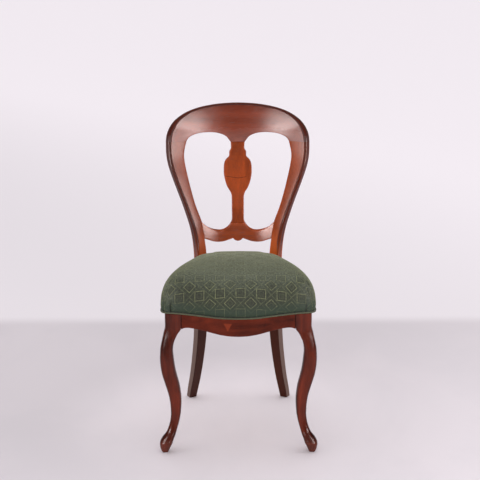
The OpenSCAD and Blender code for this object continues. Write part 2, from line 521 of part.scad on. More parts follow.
// Coil springs standing on the webbing.
spring_spots = [[-half_f * 0.28, chair_d * 0.204], [half_f * 0.28, chair_d * 0.204], [0, chair_d * 0.361],
    [-half_f * 0.226, chair_d * 0.485], [half_f * 0.226, chair_d * 0.485]];
spring_low = long_top + soft_fit + wire_d / 2;
spring_high = seat_z + canvas_shares[4][1] * dome_h - soft_fit - wire_d / 2;
spring_turns = 4.25;
spring_steps = 51;
module spring(q) {
    loft([for (k = [0:spring_steps]) let (t = k / spring_steps, a = 360 * spring_turns * t,
        r = mix(waist_r, coil_r, pow(abs(2 * t - 1), 1.5)), z = mix(spring_low, spring_high, t * t * (3 - 2 * t)))
        [for (h = [0:72:288]) [q[0] + (r + cos(h) * wire_d / 2) * cos(a), q[1] + (r + cos(h) * wire_d / 2) * sin(a),
            z + sin(h) * wire_d / 2]]]);
}

// Middle of the whole depth, so the origin lies under the chair.
front_most = seat_mid[1] - (seat_mid[1] - seat_half[0][1]) * (cover_most_share);
back_most = sheet(0, chair_h - edge_c) + crest_d;
module placed() {
    translate([0, -mix(front_most, back_most, 1 / 2), 0]) children();
}

// The separate pieces.
module crest_rail() {
    color("#8a4427") placed() difference() {
        loft([for (k = [0:crest_last]) crest_ring(k)]);
        crest_pegs(fit);
        mirror([1, 0, 0]) crest_pegs(fit);
        splat_tenon(splat_high, fit);
    }
}
module splat() {
    color("#9c5230") placed() union() {
        loft([for (r = splat_shares) splat_ring(r)]);
        splat_tenon(splat_high, 0);
        splat_tenon(splat_low, 0);
    }
}
module cross_rail() {
    color("#8f4a2b") placed() difference() {
        loft([for (k = [0:cross_last]) cross_ring(k)]);
        cross_pegs(fit);
        mirror([1, 0, 0]) cross_pegs(fit);
        splat_tenon(splat_low, fit);
    }
}
module right_back_post() {
    difference() {
        loft(post_rings);
        side_rail_body(fit);
        rear_rail_body(fit);
        seat_dowels(fit);
        crest_pegs(fit);
        cross_pegs(fit);
    }
}
module back_post_right() {
    color("#7c3c24") placed() right_back_post();
}
module back_post_left() {
    color("#7c3c24") placed() mirror([1, 0, 0]) right_back_post();
}
module right_front_leg() {
    difference() {
        loft(leg_rings);
        seat_dowels(fit);
    }
}
module front_leg_right() {
    color("#743420") placed() right_front_leg();
}
module front_leg_left() {
    color("#743420") placed() mirror([1, 0, 0]) right_front_leg();
}
module front_seat_rail() {
    color("#7d3a22") placed() difference() {
        front_rail_body();
        front_ledge();
        seat_dowels(fit);
        mirror([1, 0, 0]) seat_dowels(fit);
        block_screws(fit);
        mirror([1, 0, 0]) block_screws(fit);
        tacks(fit);
    }
}
module right_side_rail() {
    difference() {
        side_rail_body(0);
        side_ledge();
        seat_dowels(fit);
        block_screws(fit);
        tacks(fit);
    }
}
module side_seat_rail_right() {
    color("#7a3a24") placed() right_side_rail();
}
module side_seat_rail_left() {
    color("#7a3a24") placed() mirror([1, 0, 0]) right_side_rail();
}
module rear_seat_rail() {
    color("#7a3a24") placed() difference() {
        rear_rail_body(0);
        linear_extrude(height = ledge_z)
            polygon([[-ledge_half, 0], [ledge_half, 0], [ledge_half, rear_strap_y + fit], [-ledge_half, rear_strap_y + fit]]);
        seat_dowels(fit);
        mirror([1, 0, 0]) seat_dowels(fit);
        block_screws(fit);
        mirror([1, 0, 0]) block_screws(fit);
        tacks(fit);
    }
}
module front_corner_block_right() {
    color("#b98d5c") placed() corner_block(front_block_plan);
}
module front_corner_block_left() {
    color("#b98d5c") placed() mirror([1, 0, 0]) corner_block(front_block_plan);
}
module rear_corner_block_right() {
    color("#b98d5c") placed() corner_block(rear_block_plan);
}
module rear_corner_block_left() {
    color("#b98d5c") placed() mirror([1, 0, 0]) corner_block(rear_block_plan);
}
module corner_block_screws() {
    color("#8d8a80") placed() union() {
        block_screws(0);
        mirror([1, 0, 0]) block_screws(0);
    }
}
module rail_dowels() {
    color("#c8a270") placed() union() {
        seat_dowels(0);
        mirror([1, 0, 0]) seat_dowels(0);
    }
}
module crest_dowels() {
    color("#c8a270") placed() union() {
        crest_pegs(0);
        mirror([1, 0, 0]) crest_pegs(0);
    }
}
module cross_rail_dowels() {
    color("#c8a270") placed() union() {
        cross_pegs(0);
        mirror([1, 0, 0]) cross_pegs(0);
    }
}
module long_webbing() {
    color("#b9a37c") placed() difference() {
        long_straps();
        tacks(fit);
    }
}
module cross_webbing() {
    color("#b9a37c") placed() difference() {
        cross_straps();
        tacks(fit);
    }
}
module webbing_tacks() {
    color("#5c5f63") placed() tacks(0);
}
module seat_springs() {
    color("#a07a45") placed() for (q = spring_spots) spring(q);
}
module spring_canvas() {
    color("#c5b48e") placed() seat_shell(canvas_profile, moved(canvas_profile, canvas_t),
        canvas_top, canvas_top + canvas_t);
}
module seat_stuffing() {
    color("#4b3a2a") placed() seat_shell(moved(canvas_profile, canvas_t + soft_fit),
        [for (i = [2:len(cover_profile) - 1]) moved(cover_profile, -cover_t - soft_fit)[i]],
        canvas_top + canvas_t + soft_fit, cover_top - cover_t - soft_fit);
}
module seat_cover() {
    color("#66765a") placed() seat_shell(moved(cover_profile, -cover_t), cover_profile, cover_top - cover_t, cover_top);
}
module seat_piping() {
    color("#9aa38a") placed() cord(-cord_front_steps, cord_front_steps);
}
module rear_piping() {
    color("#9aa38a") placed() cord(cord_rear_steps, len(cord_path) - cord_rear_steps);
}

crest_rail();
splat();
cross_rail();
back_post_left();
back_post_right();
front_leg_left();
front_leg_right();
front_seat_rail();
side_seat_rail_left();
side_seat_rail_right();
rear_seat_rail();
front_corner_block_left();
front_corner_block_right();
rear_corner_block_left();
rear_corner_block_right();
corner_block_screws();
rail_dowels();
crest_dowels();
cross_rail_dowels();
long_webbing();
cross_webbing();
webbing_tacks();
seat_springs();
spring_canvas();
seat_stuffing();
seat_cover();
seat_piping();
rear_piping();
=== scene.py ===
"""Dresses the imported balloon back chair: polished wood, a patterned sprung seat and a pale studio."""

import math

import bpy
import numpy as np
from bpy.props import FloatProperty, FloatVectorProperty, PointerProperty
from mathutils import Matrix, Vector


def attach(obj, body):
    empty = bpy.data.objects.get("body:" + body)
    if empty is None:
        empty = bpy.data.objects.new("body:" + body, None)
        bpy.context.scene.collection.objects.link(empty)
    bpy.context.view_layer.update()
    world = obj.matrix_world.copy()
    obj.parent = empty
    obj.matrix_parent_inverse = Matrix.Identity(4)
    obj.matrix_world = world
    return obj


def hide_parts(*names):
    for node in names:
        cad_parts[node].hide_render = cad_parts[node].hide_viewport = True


bl_info = {
    "name": "Balloon Back Chair",
    "version": (1, 0, 0),
    "blender": (4, 5, 0),
    "location": "View3D > Sidebar > Chair",
    "description": "Builds the polished frame and the sprung seat of a balloon back chair round its CAD model",
    "category": "Add Mesh",
}

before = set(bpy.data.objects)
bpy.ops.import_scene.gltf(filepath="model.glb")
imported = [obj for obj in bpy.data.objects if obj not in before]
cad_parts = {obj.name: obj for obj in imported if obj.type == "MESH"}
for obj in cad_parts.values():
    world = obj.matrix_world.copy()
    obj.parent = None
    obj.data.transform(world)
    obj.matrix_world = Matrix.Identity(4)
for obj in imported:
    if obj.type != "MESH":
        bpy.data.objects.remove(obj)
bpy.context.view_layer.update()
BODY = "root"

# The workshop's measures are in millimetres, with depth counted from the line of the front feet.
MM = 0.001
DEPTH_MID = 227.585
CHAIR_H = 921.5
FIT = 0.15

# Back post: height, outer side, inner side, middle in depth, turn in degrees, thickness.
POST_ROWS = [
    (0, 163.5, 131.5, 412, 30, 23), (28, 160.3, 125.8, 407, 30, 24.5), (56.4, 155.4, 119.4, 402.7, 30, 25.6),
    (85, 151.1, 114.2, 398.5, 30, 27), (141, 144.6, 105.5, 390.3, 30, 28.6), (196, 139.6, 98.9, 383, 30, 30),
    (236, 137.4, 95.6, 378.5, 30, 30.5), (345, 134.4, 93.0, 369.2, 30, 30.7), (405, 133.4, 93.2, 368.2, 30, 30.5),
    (470, 134.2, 93.7, 367, 30, 30), (506, 136.8, 96.9, 368.5, 29.5, 29.4), (523.4, 139, 99.5, 370, 29.1, 29.1),
    (549, 143.7, 103.2, 372.4, 28.6, 28.8), (575, 150.5, 107.0, 375.2, 28, 28.4),
    (591, 155.8, 113.2, 377, 27.7, 28.2),
    (615, 163.8, 122.5, 380.3, 27.2, 28), (639, 172.4, 130.4, 383.9, 26.8, 27.7),
    (662.6, 181.4, 136.9, 387.7, 26.4, 27.4),
    (686, 190.3, 143.3, 391.8, 26, 27.2), (710, 199, 148.9, 396, 25.8, 27), (733, 206.8, 154.4, 400.4, 25.6, 26.8),
    (751, 211.6, 157.8, 404.1, 25.4, 26.6), (768, 214.5, 160.2, 407.8, 25.3, 26.4),
    (780, 215.6, 159.7, 410.5, 25.2, 26.3),
    (792, 216, 157.4, 413.3, 25.1, 26.2), (812, 215.9, 152.3, 418, 25, 26),
]
# Crest rail from the right joint to the middle: outer edge across and up, inner edge across and up.
CREST_ROWS = [
    (215.9, 812, 152.3, 812), (215.3, 823, 148.5, 818.5), (213, 834.5, 142.8, 824), (209, 846, 133, 828.4),
    (202.5, 858.5, 120.4, 832.3), (192.5, 872, 106, 834.2), (177.4, 884.8, 91, 834.8), (158.2, 896.4, 77, 834.3),
    (135, 905.8, 64, 832.8), (110, 911.8, 52, 829.8), (85, 915.9, 42, 825.9), (61, 918.8, 33.5, 820.6),
    (40, 920.2, 27.4, 813), (24, 921, 21.1, 804.6), (10, 921.4, 9, 804.6), (0, 921.5, 0, 804.6),
]
# Cross rail from the right post to the middle: upper edge across and up, lower edge across and up.
CROSS_ROWS = [
    (107, 575, 99.5, 523.4), (102.5, 568.3, 93, 521), (96.8, 562.5, 86, 518.2), (88, 555.8, 77.3, 514.9),
    (77.8, 550.3, 67, 512.4), (64, 545.6, 57, 511.5), (51.5, 544.2, 46.5, 512.2), (42, 546.2, 36.7, 514.2),
    (34.5, 550.3, 27.5, 517.5), (28, 556, 19.7, 520.1), (23.6, 562.6, 14.9, 521.9), (21.7, 566.5, 9.7, 516.7),
    (12, 566.5, 5.5, 514.6), (0, 566.5, 0, 513.9),
]
# Splat: height, half width.
SPLAT_ROWS = [
    (566.8, 21.7), (570, 20), (575.4, 18.6), (587, 17.9), (599, 18.1), (634, 18.3), (646, 18.5), (657.7, 21.9),
    (669.5, 29.7), (681, 34.9), (693, 38.5), (704.7, 41.1), (716.5, 42.4), (728, 42.3), (740, 41.3), (751.7, 36.6),
    (757, 31), (761, 26.4), (764, 25.6), (776, 25.8), (779, 24.6), (782, 20.9), (786.9, 20.2), (798.7, 20.7),
    (804.3, 21.1),
]
# Front leg: height, middle across, middle in depth, half width, squareness.
LEG_ROWS = [
    (0, 206, 0, 8.8, 0), (8.8, 206.4, 0, 12.6, 0), (18, 205, 0.4, 15.9, 0), (25, 203.7, 0.6, 17.9, 0),
    (28, 202.9, 1.4, 18.8, 0), (31.5, 201.8, 4.2, 18.2, 0), (37, 199.5, 6.6, 17.9, 0),
    (45, 194.2, 8, 16, 0), (57, 187.9, 13, 13.7, 0), (69.4, 183.6, 16.5, 12.9, 0), (81.5, 180, 19.5, 13, 0),
    (93.5, 177.8, 22, 13.3, 0), (105.5, 176.2, 23.5, 14, 0), (129, 175.7, 24.5, 15.4, 0), (153, 176.9, 24, 17.1, 0),
    (177, 180.6, 21.5, 18.8, 0), (200.7, 185.8, 19, 20.1, 0), (224, 191.7, 16.6, 20.4, 0), (248, 196, 15.4, 20, 0),
    (271, 198.1, 15.4, 19.4, 0.05), (294.6, 198.8, 17.2, 17.8, 0.16), (318, 195.3, 21, 17.5, 0.36),
    (329.5, 191.6, 23.6, 18.5, 0.52), (341, 187.8, 26.4, 19.7, 0.72), (351, 183.6, 28.7, 21.7, 0.92),
    (356, 180.1, 29.5, 22.8, 1), (400.8, 180.1, 29.5, 22.8, 1),
]
LEG_ROUND = [
    (-1, -0.4), (-0.78, -0.78), (-0.4, -1), (0.52, -1), (0.8, -0.8), (1, -0.52),
    (1, 0.4), (0.78, 0.78), (0.4, 1), (-0.4, 1), (-0.78, 0.78), (-1, 0.4),
]
LEG_BLOCK = [
    (-1, -0.88), (-0.98, -0.955), (-0.9, -0.95), (0.55, -0.74), (0.88, -0.58), (1, -0.25),
    (1, 0.85), (0.98, 0.98), (0.85, 1), (-0.85, 1), (-0.98, 0.98), (-1, 0.85),
]
# Front rail: plan of the show face, and its lower edge.
RAIL_FACE = [(0, -39), (22, -38), (44, -34.8), (66, -28.2), (87, -19.5), (109, -11), (130, -2.6), (157.2, 8.4)]
RAIL_LOW = [
    (0, 351.2), (20, 351.8), (40, 353.6), (60, 356.2), (80, 359.2), (100, 362), (118, 363.8), (133, 364.3),
    (145, 362.8), (157.2, 357.6),
]
# Seat outline at the piping from the front middle to the rear middle, and its rear without the post notch.
SEAT_LINE = [
    (0, -42), (44, -38), (87, -22.5), (130, -5.6), (174, 12), (198, 24), (210, 38.5), (213.6, 60), (210, 95),
    (197.5, 150), (177, 212), (157, 270), (142, 316), (133.5, 338.5), (126, 344.2), (117.5, 346.2), (91.6, 360.8),
    (91, 375), (92, 387), (84, 391.5), (45, 393), (0, 393),
]
# The front corner of that outline down at the piping, where the cloth is pleated over the leg.
SEAT_CORNER = [(178, 9.5), (204, 14), (213.5, 24), (216, 44), (212, 95)]
SOFT_REAR = [(136, 333), (131, 343), (123, 354), (110, 366), (99, 375), (90, 381), (76, 386), (40, 391), (0, 393)]
# Cushion section from the tacked hem to the crown: share of the outline, height above the rail.
SEAT_Z = 401.06
CROWN = 113.3
COVER_ROWS = [
    (0.9739, 0), (0.9748, 2.98), (0.983, 6.2), (0.997, 11.5), (1.004, 20.7), (1.004, 33.3), (0.978, 58),
    (0.928, 78.5),
    (0.84, 94.5), (0.7, 104.8), (0.48, 110.2), (0.23, 112.5), (0.03, 113.2),
]
REAR_FALL = 18.0
CANVAS_ROWS = [
    (0.882, 0), (0.845, 0.115), (0.8, 10.9), (0.74, 33.3), (0.66, 55.4), (0.5, 57.1), (0.3, 58.1), (0.04, 58.4),
]


# Smooth lines through measured rows.
def eased(t):
    """Smooth rise from 0 to 1."""
    t = np.clip(t, 0, 1)
    return t * t * (3 - 2 * t)


def mixed(first, second, share):
    return first * (1 - share) + second * share


def unit(ways):
    """The same directions with a length of one."""
    return ways / np.linalg.norm(ways, axis=-1, keepdims=True)


def steps_along(rows):
    """Distance travelled along a list of points, starting at zero."""
    rows = np.asarray(rows, float)
    return np.concatenate([[0.0], np.cumsum(np.linalg.norm(np.diff(rows, axis=0), axis=1))])


def through(knots, values, at):
    """Values of a smooth line through the knots, which never overshoots its measured values."""
    knots, values, at = (np.asarray(a, float) for a in (knots, values, at))
    gaps = np.diff(knots)
    rises = np.diff(values) / gaps
    slopes = np.zeros(len(knots))
    slopes[0], slopes[-1] = rises[0], rises[-1]
    for i in range(1, len(knots) - 1):
        if rises[i - 1] * rises[i] > 0:
            before, after = gaps[i - 1], gaps[i]
            w1, w2 = 2 * after + before, after + 2 * before
            slopes[i] = (w1 + w2) / (w1 / rises[i - 1] + w2 / rises[i])
    k = np.clip(np.searchsorted(knots, at, side="right") - 1, 0, len(knots) - 2)
    gap = gaps[k]
    t = (at - knots[k]) / gap
    return ((1 + 2 * t) * (1 - t) ** 2 * values[k] + t * (1 - t) ** 2 * gap * slopes[k]
            + t * t * (3 - 2 * t) * values[k + 1] + t * t * (t - 1) * gap * slopes[k + 1])


def dense(rows, knots, spacing, passes=0, corners=()):
    """Measured rows drawn out to even spacing and faired, with the named rows kept as corners."""
    rows, knots = np.asarray(rows, float), np.asarray(knots, float)
    cuts = [0, *corners, len(rows) - 1]
    parts = []
    for first, last in zip(cuts[:-1], cuts[1:]):
        count = max(2, int(round((knots[last] - knots[first]) / spacing)) + 1)
        at = np.linspace(knots[first], knots[last], count)
        part = np.column_stack([through(knots[first:last + 1], column[first:last + 1], at) for column in rows.T])
        for _ in range(passes):
            part[1:-1] = (part[:-2] + 2 * part[1:-1] + part[2:]) / 4
        parts.append(part[1 if parts else 0:])
    return np.vstack(parts)


def whole(half):
    """Both halves of a row list that runs from one side to the middle, with x in every other column."""
    return np.vstack([half, half[-2::-1] * np.tile([-1, 1], half.shape[1] // 2)])


def blurred_loop(points, width):
    """A closed outline softened by a bell curve that is width samples wide."""
    reach = int(3 * width) + 1
    shifts = np.arange(-reach, reach + 1)
    weights = np.exp(-0.5 * (shifts / width) ** 2)
    weights /= weights.sum()
    return sum(weight * np.roll(points, shift, axis=-2) for shift, weight in zip(shifts, weights))


# Meshes.
def mesh_piece(name, points, faces, marks, sharp=35):
    """One smooth-shaded mesh object in metres, with its faces turned outward, from points in millimetres."""
    points = np.array(points, float)
    arms = points - points.mean(axis=0)
    fans = np.array([(face[0], face[i], face[i + 1]) for face in faces for i in range(1, len(face) - 1)])
    a, b, c = (arms[fans[:, k]] for k in range(3))
    if (a * np.cross(b, c)).sum() < 0:
        faces = [tuple(reversed(face)) for face in faces]
    points[:, 1] -= DEPTH_MID
    mesh = bpy.data.meshes.new(name)
    mesh.from_pydata((points * MM).tolist(), [], faces)
    mesh.validate()
    for mark, values in marks.items():
        flat = values.size == len(points)
        layer = mesh.attributes.new(mark, "FLOAT" if flat else "FLOAT_VECTOR", "POINT")
        layer.data.foreach_set("value" if flat else "vector", values.astype(np.float32).ravel())
    mesh.shade_smooth()
    mesh.set_sharp_from_angle(angle=math.radians(sharp))
    piece = bpy.data.objects.new(name, mesh)
    bpy.context.scene.collection.objects.link(piece)
    return piece


def ring_faces(rings, per_ring):
    """Quads between rings, with the winding that faces outward for an anticlockwise outline."""
    return [(a + i, a + (i + 1) % per_ring, a + per_ring + (i + 1) % per_ring, a + per_ring + i)
            for a in range(0, (rings - 1) * per_ring, per_ring) for i in range(per_ring)]


def bundle(name, solids, marks=(), sharp=35):
    """One mesh piece made of closed solids, each given as rings of points."""
    points, faces, start = [], [], 0
    for rings in solids:
        n, m = rings.shape[:2]
        shut = ring_faces(n, m) + [tuple(range(m))[::-1], tuple(range((n - 1) * m, n * m))]
        faces += [tuple(i + start for i in face) for face in shut]
        points.append(rings.reshape(-1, 3))
        start += n * m
    return mesh_piece(name, np.vstack(points), faces, dict(marks), sharp)


def lofted(name, rings, edge=0.0, **marks):
    """A closed solid through rings of points, with its two end arrises eased by edge."""
    if edge:
        ends = []
        for end, towards in ((0, 1), (-1, -2)):
            middle = rings[end].mean(axis=0)
            outward = rings[end] - middle
            size = np.linalg.norm(outward, axis=1, keepdims=True)
            way = unit(rings[towards].mean(axis=0) - middle)
            ends.append((middle + outward * (1 - edge / size), rings[end] + way * edge))
        rings = np.concatenate([[ends[0][0]], [ends[0][1]], rings[1:-1], [ends[1][1]], [ends[1][0]]])
        marks = {k: np.concatenate([v[:1], v, v[-1:]]) for k, v in marks.items()}
    return bundle(name, [rings], marks)


def mirrored(rings):
    """The same rings for the left side of the chair."""
    return rings * [-1, 1, 1]


def settle(piece, slot, material, *nodes):
    """Gives a finished piece its material and its body, and hides the CAD nodes that it stands for; the slot is not
    used.
    """
    piece.data.materials.append(material)
    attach(piece, BODY)
    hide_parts(*nodes)


# The dished sheet that the back follows, and the turned section of the posts.
POST = np.array(POST_ROWS, float)
JOINT_Z = POST[-1, 0]
CREST_T = POST[-1, 5]
DISH_R = 420.0
LEAN = 0.235


def dish(x):
    """How far the dished back stands forward of its middle at x."""
    return DISH_R - np.sqrt(DISH_R ** 2 - x ** 2)


def post_frame(row):
    """Middle, width and thickness of the post's section, with its two turned directions."""
    turn = np.radians(row[..., 4])
    thick = row[..., 5]
    wide = (row[..., 1] - row[..., 2] - thick * np.sin(turn)) / np.cos(turn)
    middle = np.stack([(row[..., 1] + row[..., 2]) / 2, row[..., 3]], axis=-1)
    side = np.stack([np.cos(turn), -np.sin(turn)], axis=-1)
    deep = np.stack([np.sin(turn), np.cos(turn)], axis=-1)
    return middle, wide, thick, side, deep


def post_front(row, across=0.0):
    """A point on the front face of the post's section, a share of its width from the inner edge."""
    middle, wide, thick, side, deep = post_frame(row)
    return middle + side * (across - 0.5) * wide - deep * thick / 2


def post_row(z):
    """The post's measures at a height."""
    return np.array([z] + [np.interp(z, POST[:, 0], POST[:, c]) for c in range(1, 6)])


JOINT_IN = post_front(POST[-1])
SHEET_MID = JOINT_IN[1] + dish(JOINT_IN[0])


def sheet(x, z):
    """Depth of the back's front face."""
    return SHEET_MID + LEAN * (z - JOINT_Z) - dish(x)


def section_points(a, b):
    return np.stack([np.stack(a, axis=-1), np.stack(b, axis=-1)], axis=-1)


PLAIN_BAND, PLAIN_DROP, PLAIN_FALL = 3.0, 0.2, 2.8
BEAD_FALL = 2.6
BEAD_STEEP = math.radians(18)
FACE_HOLLOW = 0.35
BACK_ARRIS = 3.0


def hoop_section(wide, thick, bead, bead_w, bead_drop, arris):
    """Outline of the hoop: flat face, sunk thumbnail moulding on the outer edge, eased arrises.

    Returns points (rings, n, 2) and two marks per point: wear on the arrises, and a darkening that is painted shade
    with some old dirt in the moulding, and painted shade on the outer side face."""
    band = mixed(PLAIN_BAND, bead_w, bead)
    drop = mixed(PLAIN_DROP, bead_drop, bead)
    fall = PLAIN_FALL + BEAD_FALL * bead
    a, b, wear, stain = [], [], [], []

    def put(pa, pb, w=0.0, s=0.0):
        a.append(pa + 0 * wide)
        b.append(pb + 0 * wide)
        wear.append(w)
        stain.append(s)

    for t in np.radians(np.linspace(180, 270, 6)):
        put(arris * (1 + np.cos(t)), arris * (1 + np.sin(t)), 1.0)
    channel = wide - band
    for t in np.linspace(0, 1, 9)[1:-1]:
        put(arris + (channel - arris) * t, -FACE_HOLLOW * bead * 4 * t * (1 - t), 0.0, 0.22 if t > 0.85 else 0.0)
    # Painted shade: the edge of the face, the sunk channel and the thumbnail roll are darkened to stand for shade, with
    # some old dirt in the channel.
    put(channel - 0.5 * bead, 0.0, 0.3, 0.35)
    put(channel, 0.25 * drop, 0.3, 0.6)
    put(channel + 0.5 * bead, drop, 0.0, 1.0)
    put(channel + 1.1 * bead, drop + 0.15 * bead, 0.0, 1.0)
    start = 1.1 * bead
    low = math.sin(BEAD_STEEP)
    for t in np.linspace(BEAD_STEEP, math.pi / 2, 11)[1:]:
        put(channel + start + (band - start) * (math.sin(t) - low) / (1 - low),
            drop + fall * (1 - math.cos(t) / math.cos(BEAD_STEEP)), 0.25, 0.84)
    quarters = (0.25, 0.5, 0.75)
    far, deep = wide - BACK_ARRIS, thick - BACK_ARRIS
    # Painted shade on the outer side face and, more lightly, on its back arris.
    for t in quarters:
        put(wide, mixed(drop + fall, deep, t), 0.0, 0.96)
    for t in np.radians(np.linspace(0, 90, 6)):
        put(far + BACK_ARRIS * np.cos(t), deep + BACK_ARRIS * np.sin(t), 0.5, 0.3)
    for t in quarters:
        put(mixed(far, BACK_ARRIS, t), thick)
    for t in np.radians(np.linspace(90, 180, 6)):
        put(BACK_ARRIS + BACK_ARRIS * np.cos(t), deep + BACK_ARRIS * np.sin(t), 0.5)
    for t in quarters:
        put(0.0, mixed(deep, arris, t))
    return section_points(a, b), np.tile(wear, (len(wide), 1)), np.array(stain) * (0.8 + 0.2 * bead[:, None])


def slab_section(wide, thick, arris):
    """Outline of a plain sawn piece with eased arrises and a slightly crowned face, for many rings at once."""
    crown = 0.3
    corners = ((0, 0), (1, 0), (1, 1), (0, 1))
    a, b, wear = [], [], []
    for n, (ca, cb) in enumerate(corners):
        for t in np.radians(np.linspace(180, 270, 6) + 90 * n):
            a.append(wide * ca + arris * (1 - 2 * ca + np.cos(t)))
            b.append(thick * cb + arris * (1 - 2 * cb + np.sin(t)) + 0 * wide)
            wear.append(1.0)
        for t in (0.08, 0.3, 0.5, 0.7, 0.92):
            place = []
            for size, start, end in zip((wide, thick), (ca, cb), corners[(n + 1) % 4]):
                inset = arris * (end - start)
                place.append(mixed(size * start + inset, size * end - inset, t))
            a.append(place[0])
            b.append(place[1] - (crown * 4 * t * (1 - t) if n == 0 else 0) + 0 * wide)
            wear.append(0.0)
    return section_points(a, b), np.tile(wear, (len(wide), 1))


# Wooden pieces of the back.
BEAD_FROM, BEAD_FULL = 0.52 * CHAIR_H, 0.56 * CHAIR_H


def stood(plan, heights):
    """Rings of points from outlines in plan and one height for each."""
    return np.concatenate([plan, np.broadcast_to(heights[:, None, None], (*plan.shape[:2], 1))], axis=-1)


def post_rings(bead_w, bead_drop, arris):
    """The right post, whose moulding fades out below the cross rail."""
    rows = dense(POST_ROWS, POST[:, 0], 6, passes=4)
    middle, wide, thick, side, deep = post_frame(rows)
    fade = np.clip((rows[:, 0] - BEAD_FROM) / (BEAD_FULL - BEAD_FROM), 0, 1)
    outline, wear, stain = hoop_section(wide, thick, fade, bead_w, bead_drop, arris)
    across = (outline[..., 0] - wide[:, None] / 2)[..., None]
    back = (outline[..., 1] - thick[:, None] / 2)[..., None]
    return stood(middle[:, None] + side[:, None] * across + deep[:, None] * back, rows[:, 0]), wear, stain


def crest_rings(bead_w, bead_drop, arris):
    """The crest rail from joint to joint, bent to the dish between its flatter ends."""
    half = dense(CREST_ROWS, steps_along(CREST_ROWS), 5, passes=4, corners=(13,))
    flat = 1 - eased(np.arange(len(half)) / 14)
    flat = np.concatenate([flat, flat[-2::-1]])[:, None]
    rows = whole(half)
    turn = np.arcsin((rows[:, 0] + rows[:, 2]) / 2 / DISH_R)
    outer = np.stack([rows[:, 0] - CREST_T * np.sin(turn), rows[:, 1]], axis=-1)
    inner = rows[:, 2:4].copy()
    for edge in (outer, inner):
        edge[[0, -1], 1] += FIT
    wide = np.linalg.norm(outer - inner, axis=1)
    rise = (rows[:, 1:2] - JOINT_Z) / (CHAIR_H - JOINT_Z)
    ones = np.ones(len(rows))
    outline, wear, stain = hoop_section(wide, CREST_T * ones, ones, bead_w, bead_drop, arris)
    a, b = outline[..., 0], outline[..., 1]
    t = a / wide[:, None]
    x = mixed(inner[:, :1], outer[:, :1], t)
    z = mixed(inner[:, 1:], outer[:, 1:], t)
    y = mixed(sheet(x, z), mixed(sheet(inner[:, :1], inner[:, 1:]), sheet(outer[:, :1], outer[:, 1:]), t), flat)
    s, c = np.sin(turn)[:, None], np.cos(turn)[:, None]
    return np.stack([x + b * s, y + b * c, z - b * LEAN * rise * t], axis=-1), wear, stain


def cross_rings(thick, arris):
    """The cross rail, butted against the turned faces of the posts."""
    rows = np.array(CROSS_ROWS, float)
    far, far_turn = rows[0, 0], math.radians(post_row(rows[0, 1])[4])
    for c in (0, 2):
        z = rows[0, c + 1]
        row = post_row(z)
        p = post_front(row)
        rows[0, c] = p[0] + (sheet(rows[0, c], z) - p[1]) * math.tan(math.radians(row[4])) - FIT
    rows = whole(dense(rows, steps_along(rows), 4, passes=3, corners=(10, 11)))
    top, low = rows[:, 0:2], rows[:, 2:4]
    wide = np.linalg.norm(top - low, axis=1)
    outline, wear = slab_section(wide, thick, arris)
    a, b = outline[..., 0], outline[..., 1]
    t = a / wide[:, None]
    x = mixed(low[:, :1], top[:, :1], t)
    z = mixed(low[:, 1:], top[:, 1:], t)
    turn = np.sign(x) * far_turn * (np.abs(x) / far) ** 1.6
    hollow = 1.6 * eased((np.abs(x) - 22) / 33) * (1 - eased((np.abs(x) - 55) / 50))
    return np.stack([x + b * np.sin(turn), sheet(x, z) + hollow + b * np.cos(turn), z], axis=-1), wear


SPLAT_BACK = 0.92


def splat_rings(thick, arris):
    """The splat, which stands a little behind the front face of the hoop."""
    rows = dense(SPLAT_ROWS, [r[0] for r in SPLAT_ROWS], 3, passes=1)
    outline, wear = slab_section(2 * rows[:, 1], thick, arris)
    x = outline[..., 0] - rows[:, 1:2]
    z = np.broadcast_to(rows[:, :1], x.shape)
    return np.stack([x, sheet(x, z) + SPLAT_BACK + outline[..., 1], z], axis=-1), wear


# Front legs and seat rails.
def curve_wear(rings, soft=14.0, keen=4.0):
    """Wear on the tightest bends of a section."""
    before = rings - np.roll(rings, 1, axis=1)
    after = np.roll(rings, -1, axis=1) - rings
    lb, la = np.linalg.norm(before, axis=-1), np.linalg.norm(after, axis=-1)
    cosine = np.clip((before * after).sum(axis=-1) / np.maximum(lb * la, 1e-9), -1, 1)
    radius = (lb + la) / 2 / np.maximum(np.arccos(cosine), 1e-6)
    return np.clip((soft - radius) / (soft - keen), 0, 1)


def unit_section(corners, softness, per_side=7):
    """A softened outline that fills the same square as its corners."""
    corners = np.array(corners, float)
    sides = (np.roll(corners, -1, axis=0) - corners)[:, None]
    loop = (corners[:, None] + sides * (np.arange(per_side) / per_side)[:, None]).reshape(-1, 2)
    loop = blurred_loop(loop, softness)
    low, high = loop.min(axis=0), loop.max(axis=0)
    return corners.min(axis=0) + (loop - low) / (high - low) * (corners.max(axis=0) - corners.min(axis=0))


def leg_rings():
    """The right front leg, with wear on its bends, a painted highlight along the arris round its toe, painted shade on
    its sides, and darker wood just above the toe.
    """
    rows = dense(LEG_ROWS, [r[0] for r in LEG_ROWS], 3, passes=3)
    height = rows[:, :1]
    keen = np.clip(rows[:, 4:5], 0, 1)
    section = mixed(unit_section(LEG_ROUND, 5.2), unit_section(LEG_BLOCK, 1.8), keen[..., None])
    rings = stood(rows[:, None, 1:3] + section * rows[:, None, 3:4], rows[:, 0])
    # Painted highlight: a paler line along the arris round the toe, carried in the wear mark.
    ridge_highlight = np.exp(-((height - 27.5) / 2.6) ** 2) * (section[..., 1] < 0.3)
    # Painted shade on the sides of the leg, where they turn from the light; the leg is also darker just above the toe,
    # and the highlight line lightens both.
    sides = eased((np.abs(section[..., 0]) - 0.5) / 0.45) * (1 - keen * 0.5)
    toe = np.exp(-((height - 44) / 13) ** 2)
    stain = np.clip(sides * 0.6 + toe * 0.35, 0, 1) * (1 - ridge_highlight * 0.7)
    return rings, np.maximum(curve_wear(rings), ridge_highlight * 1.4), stain


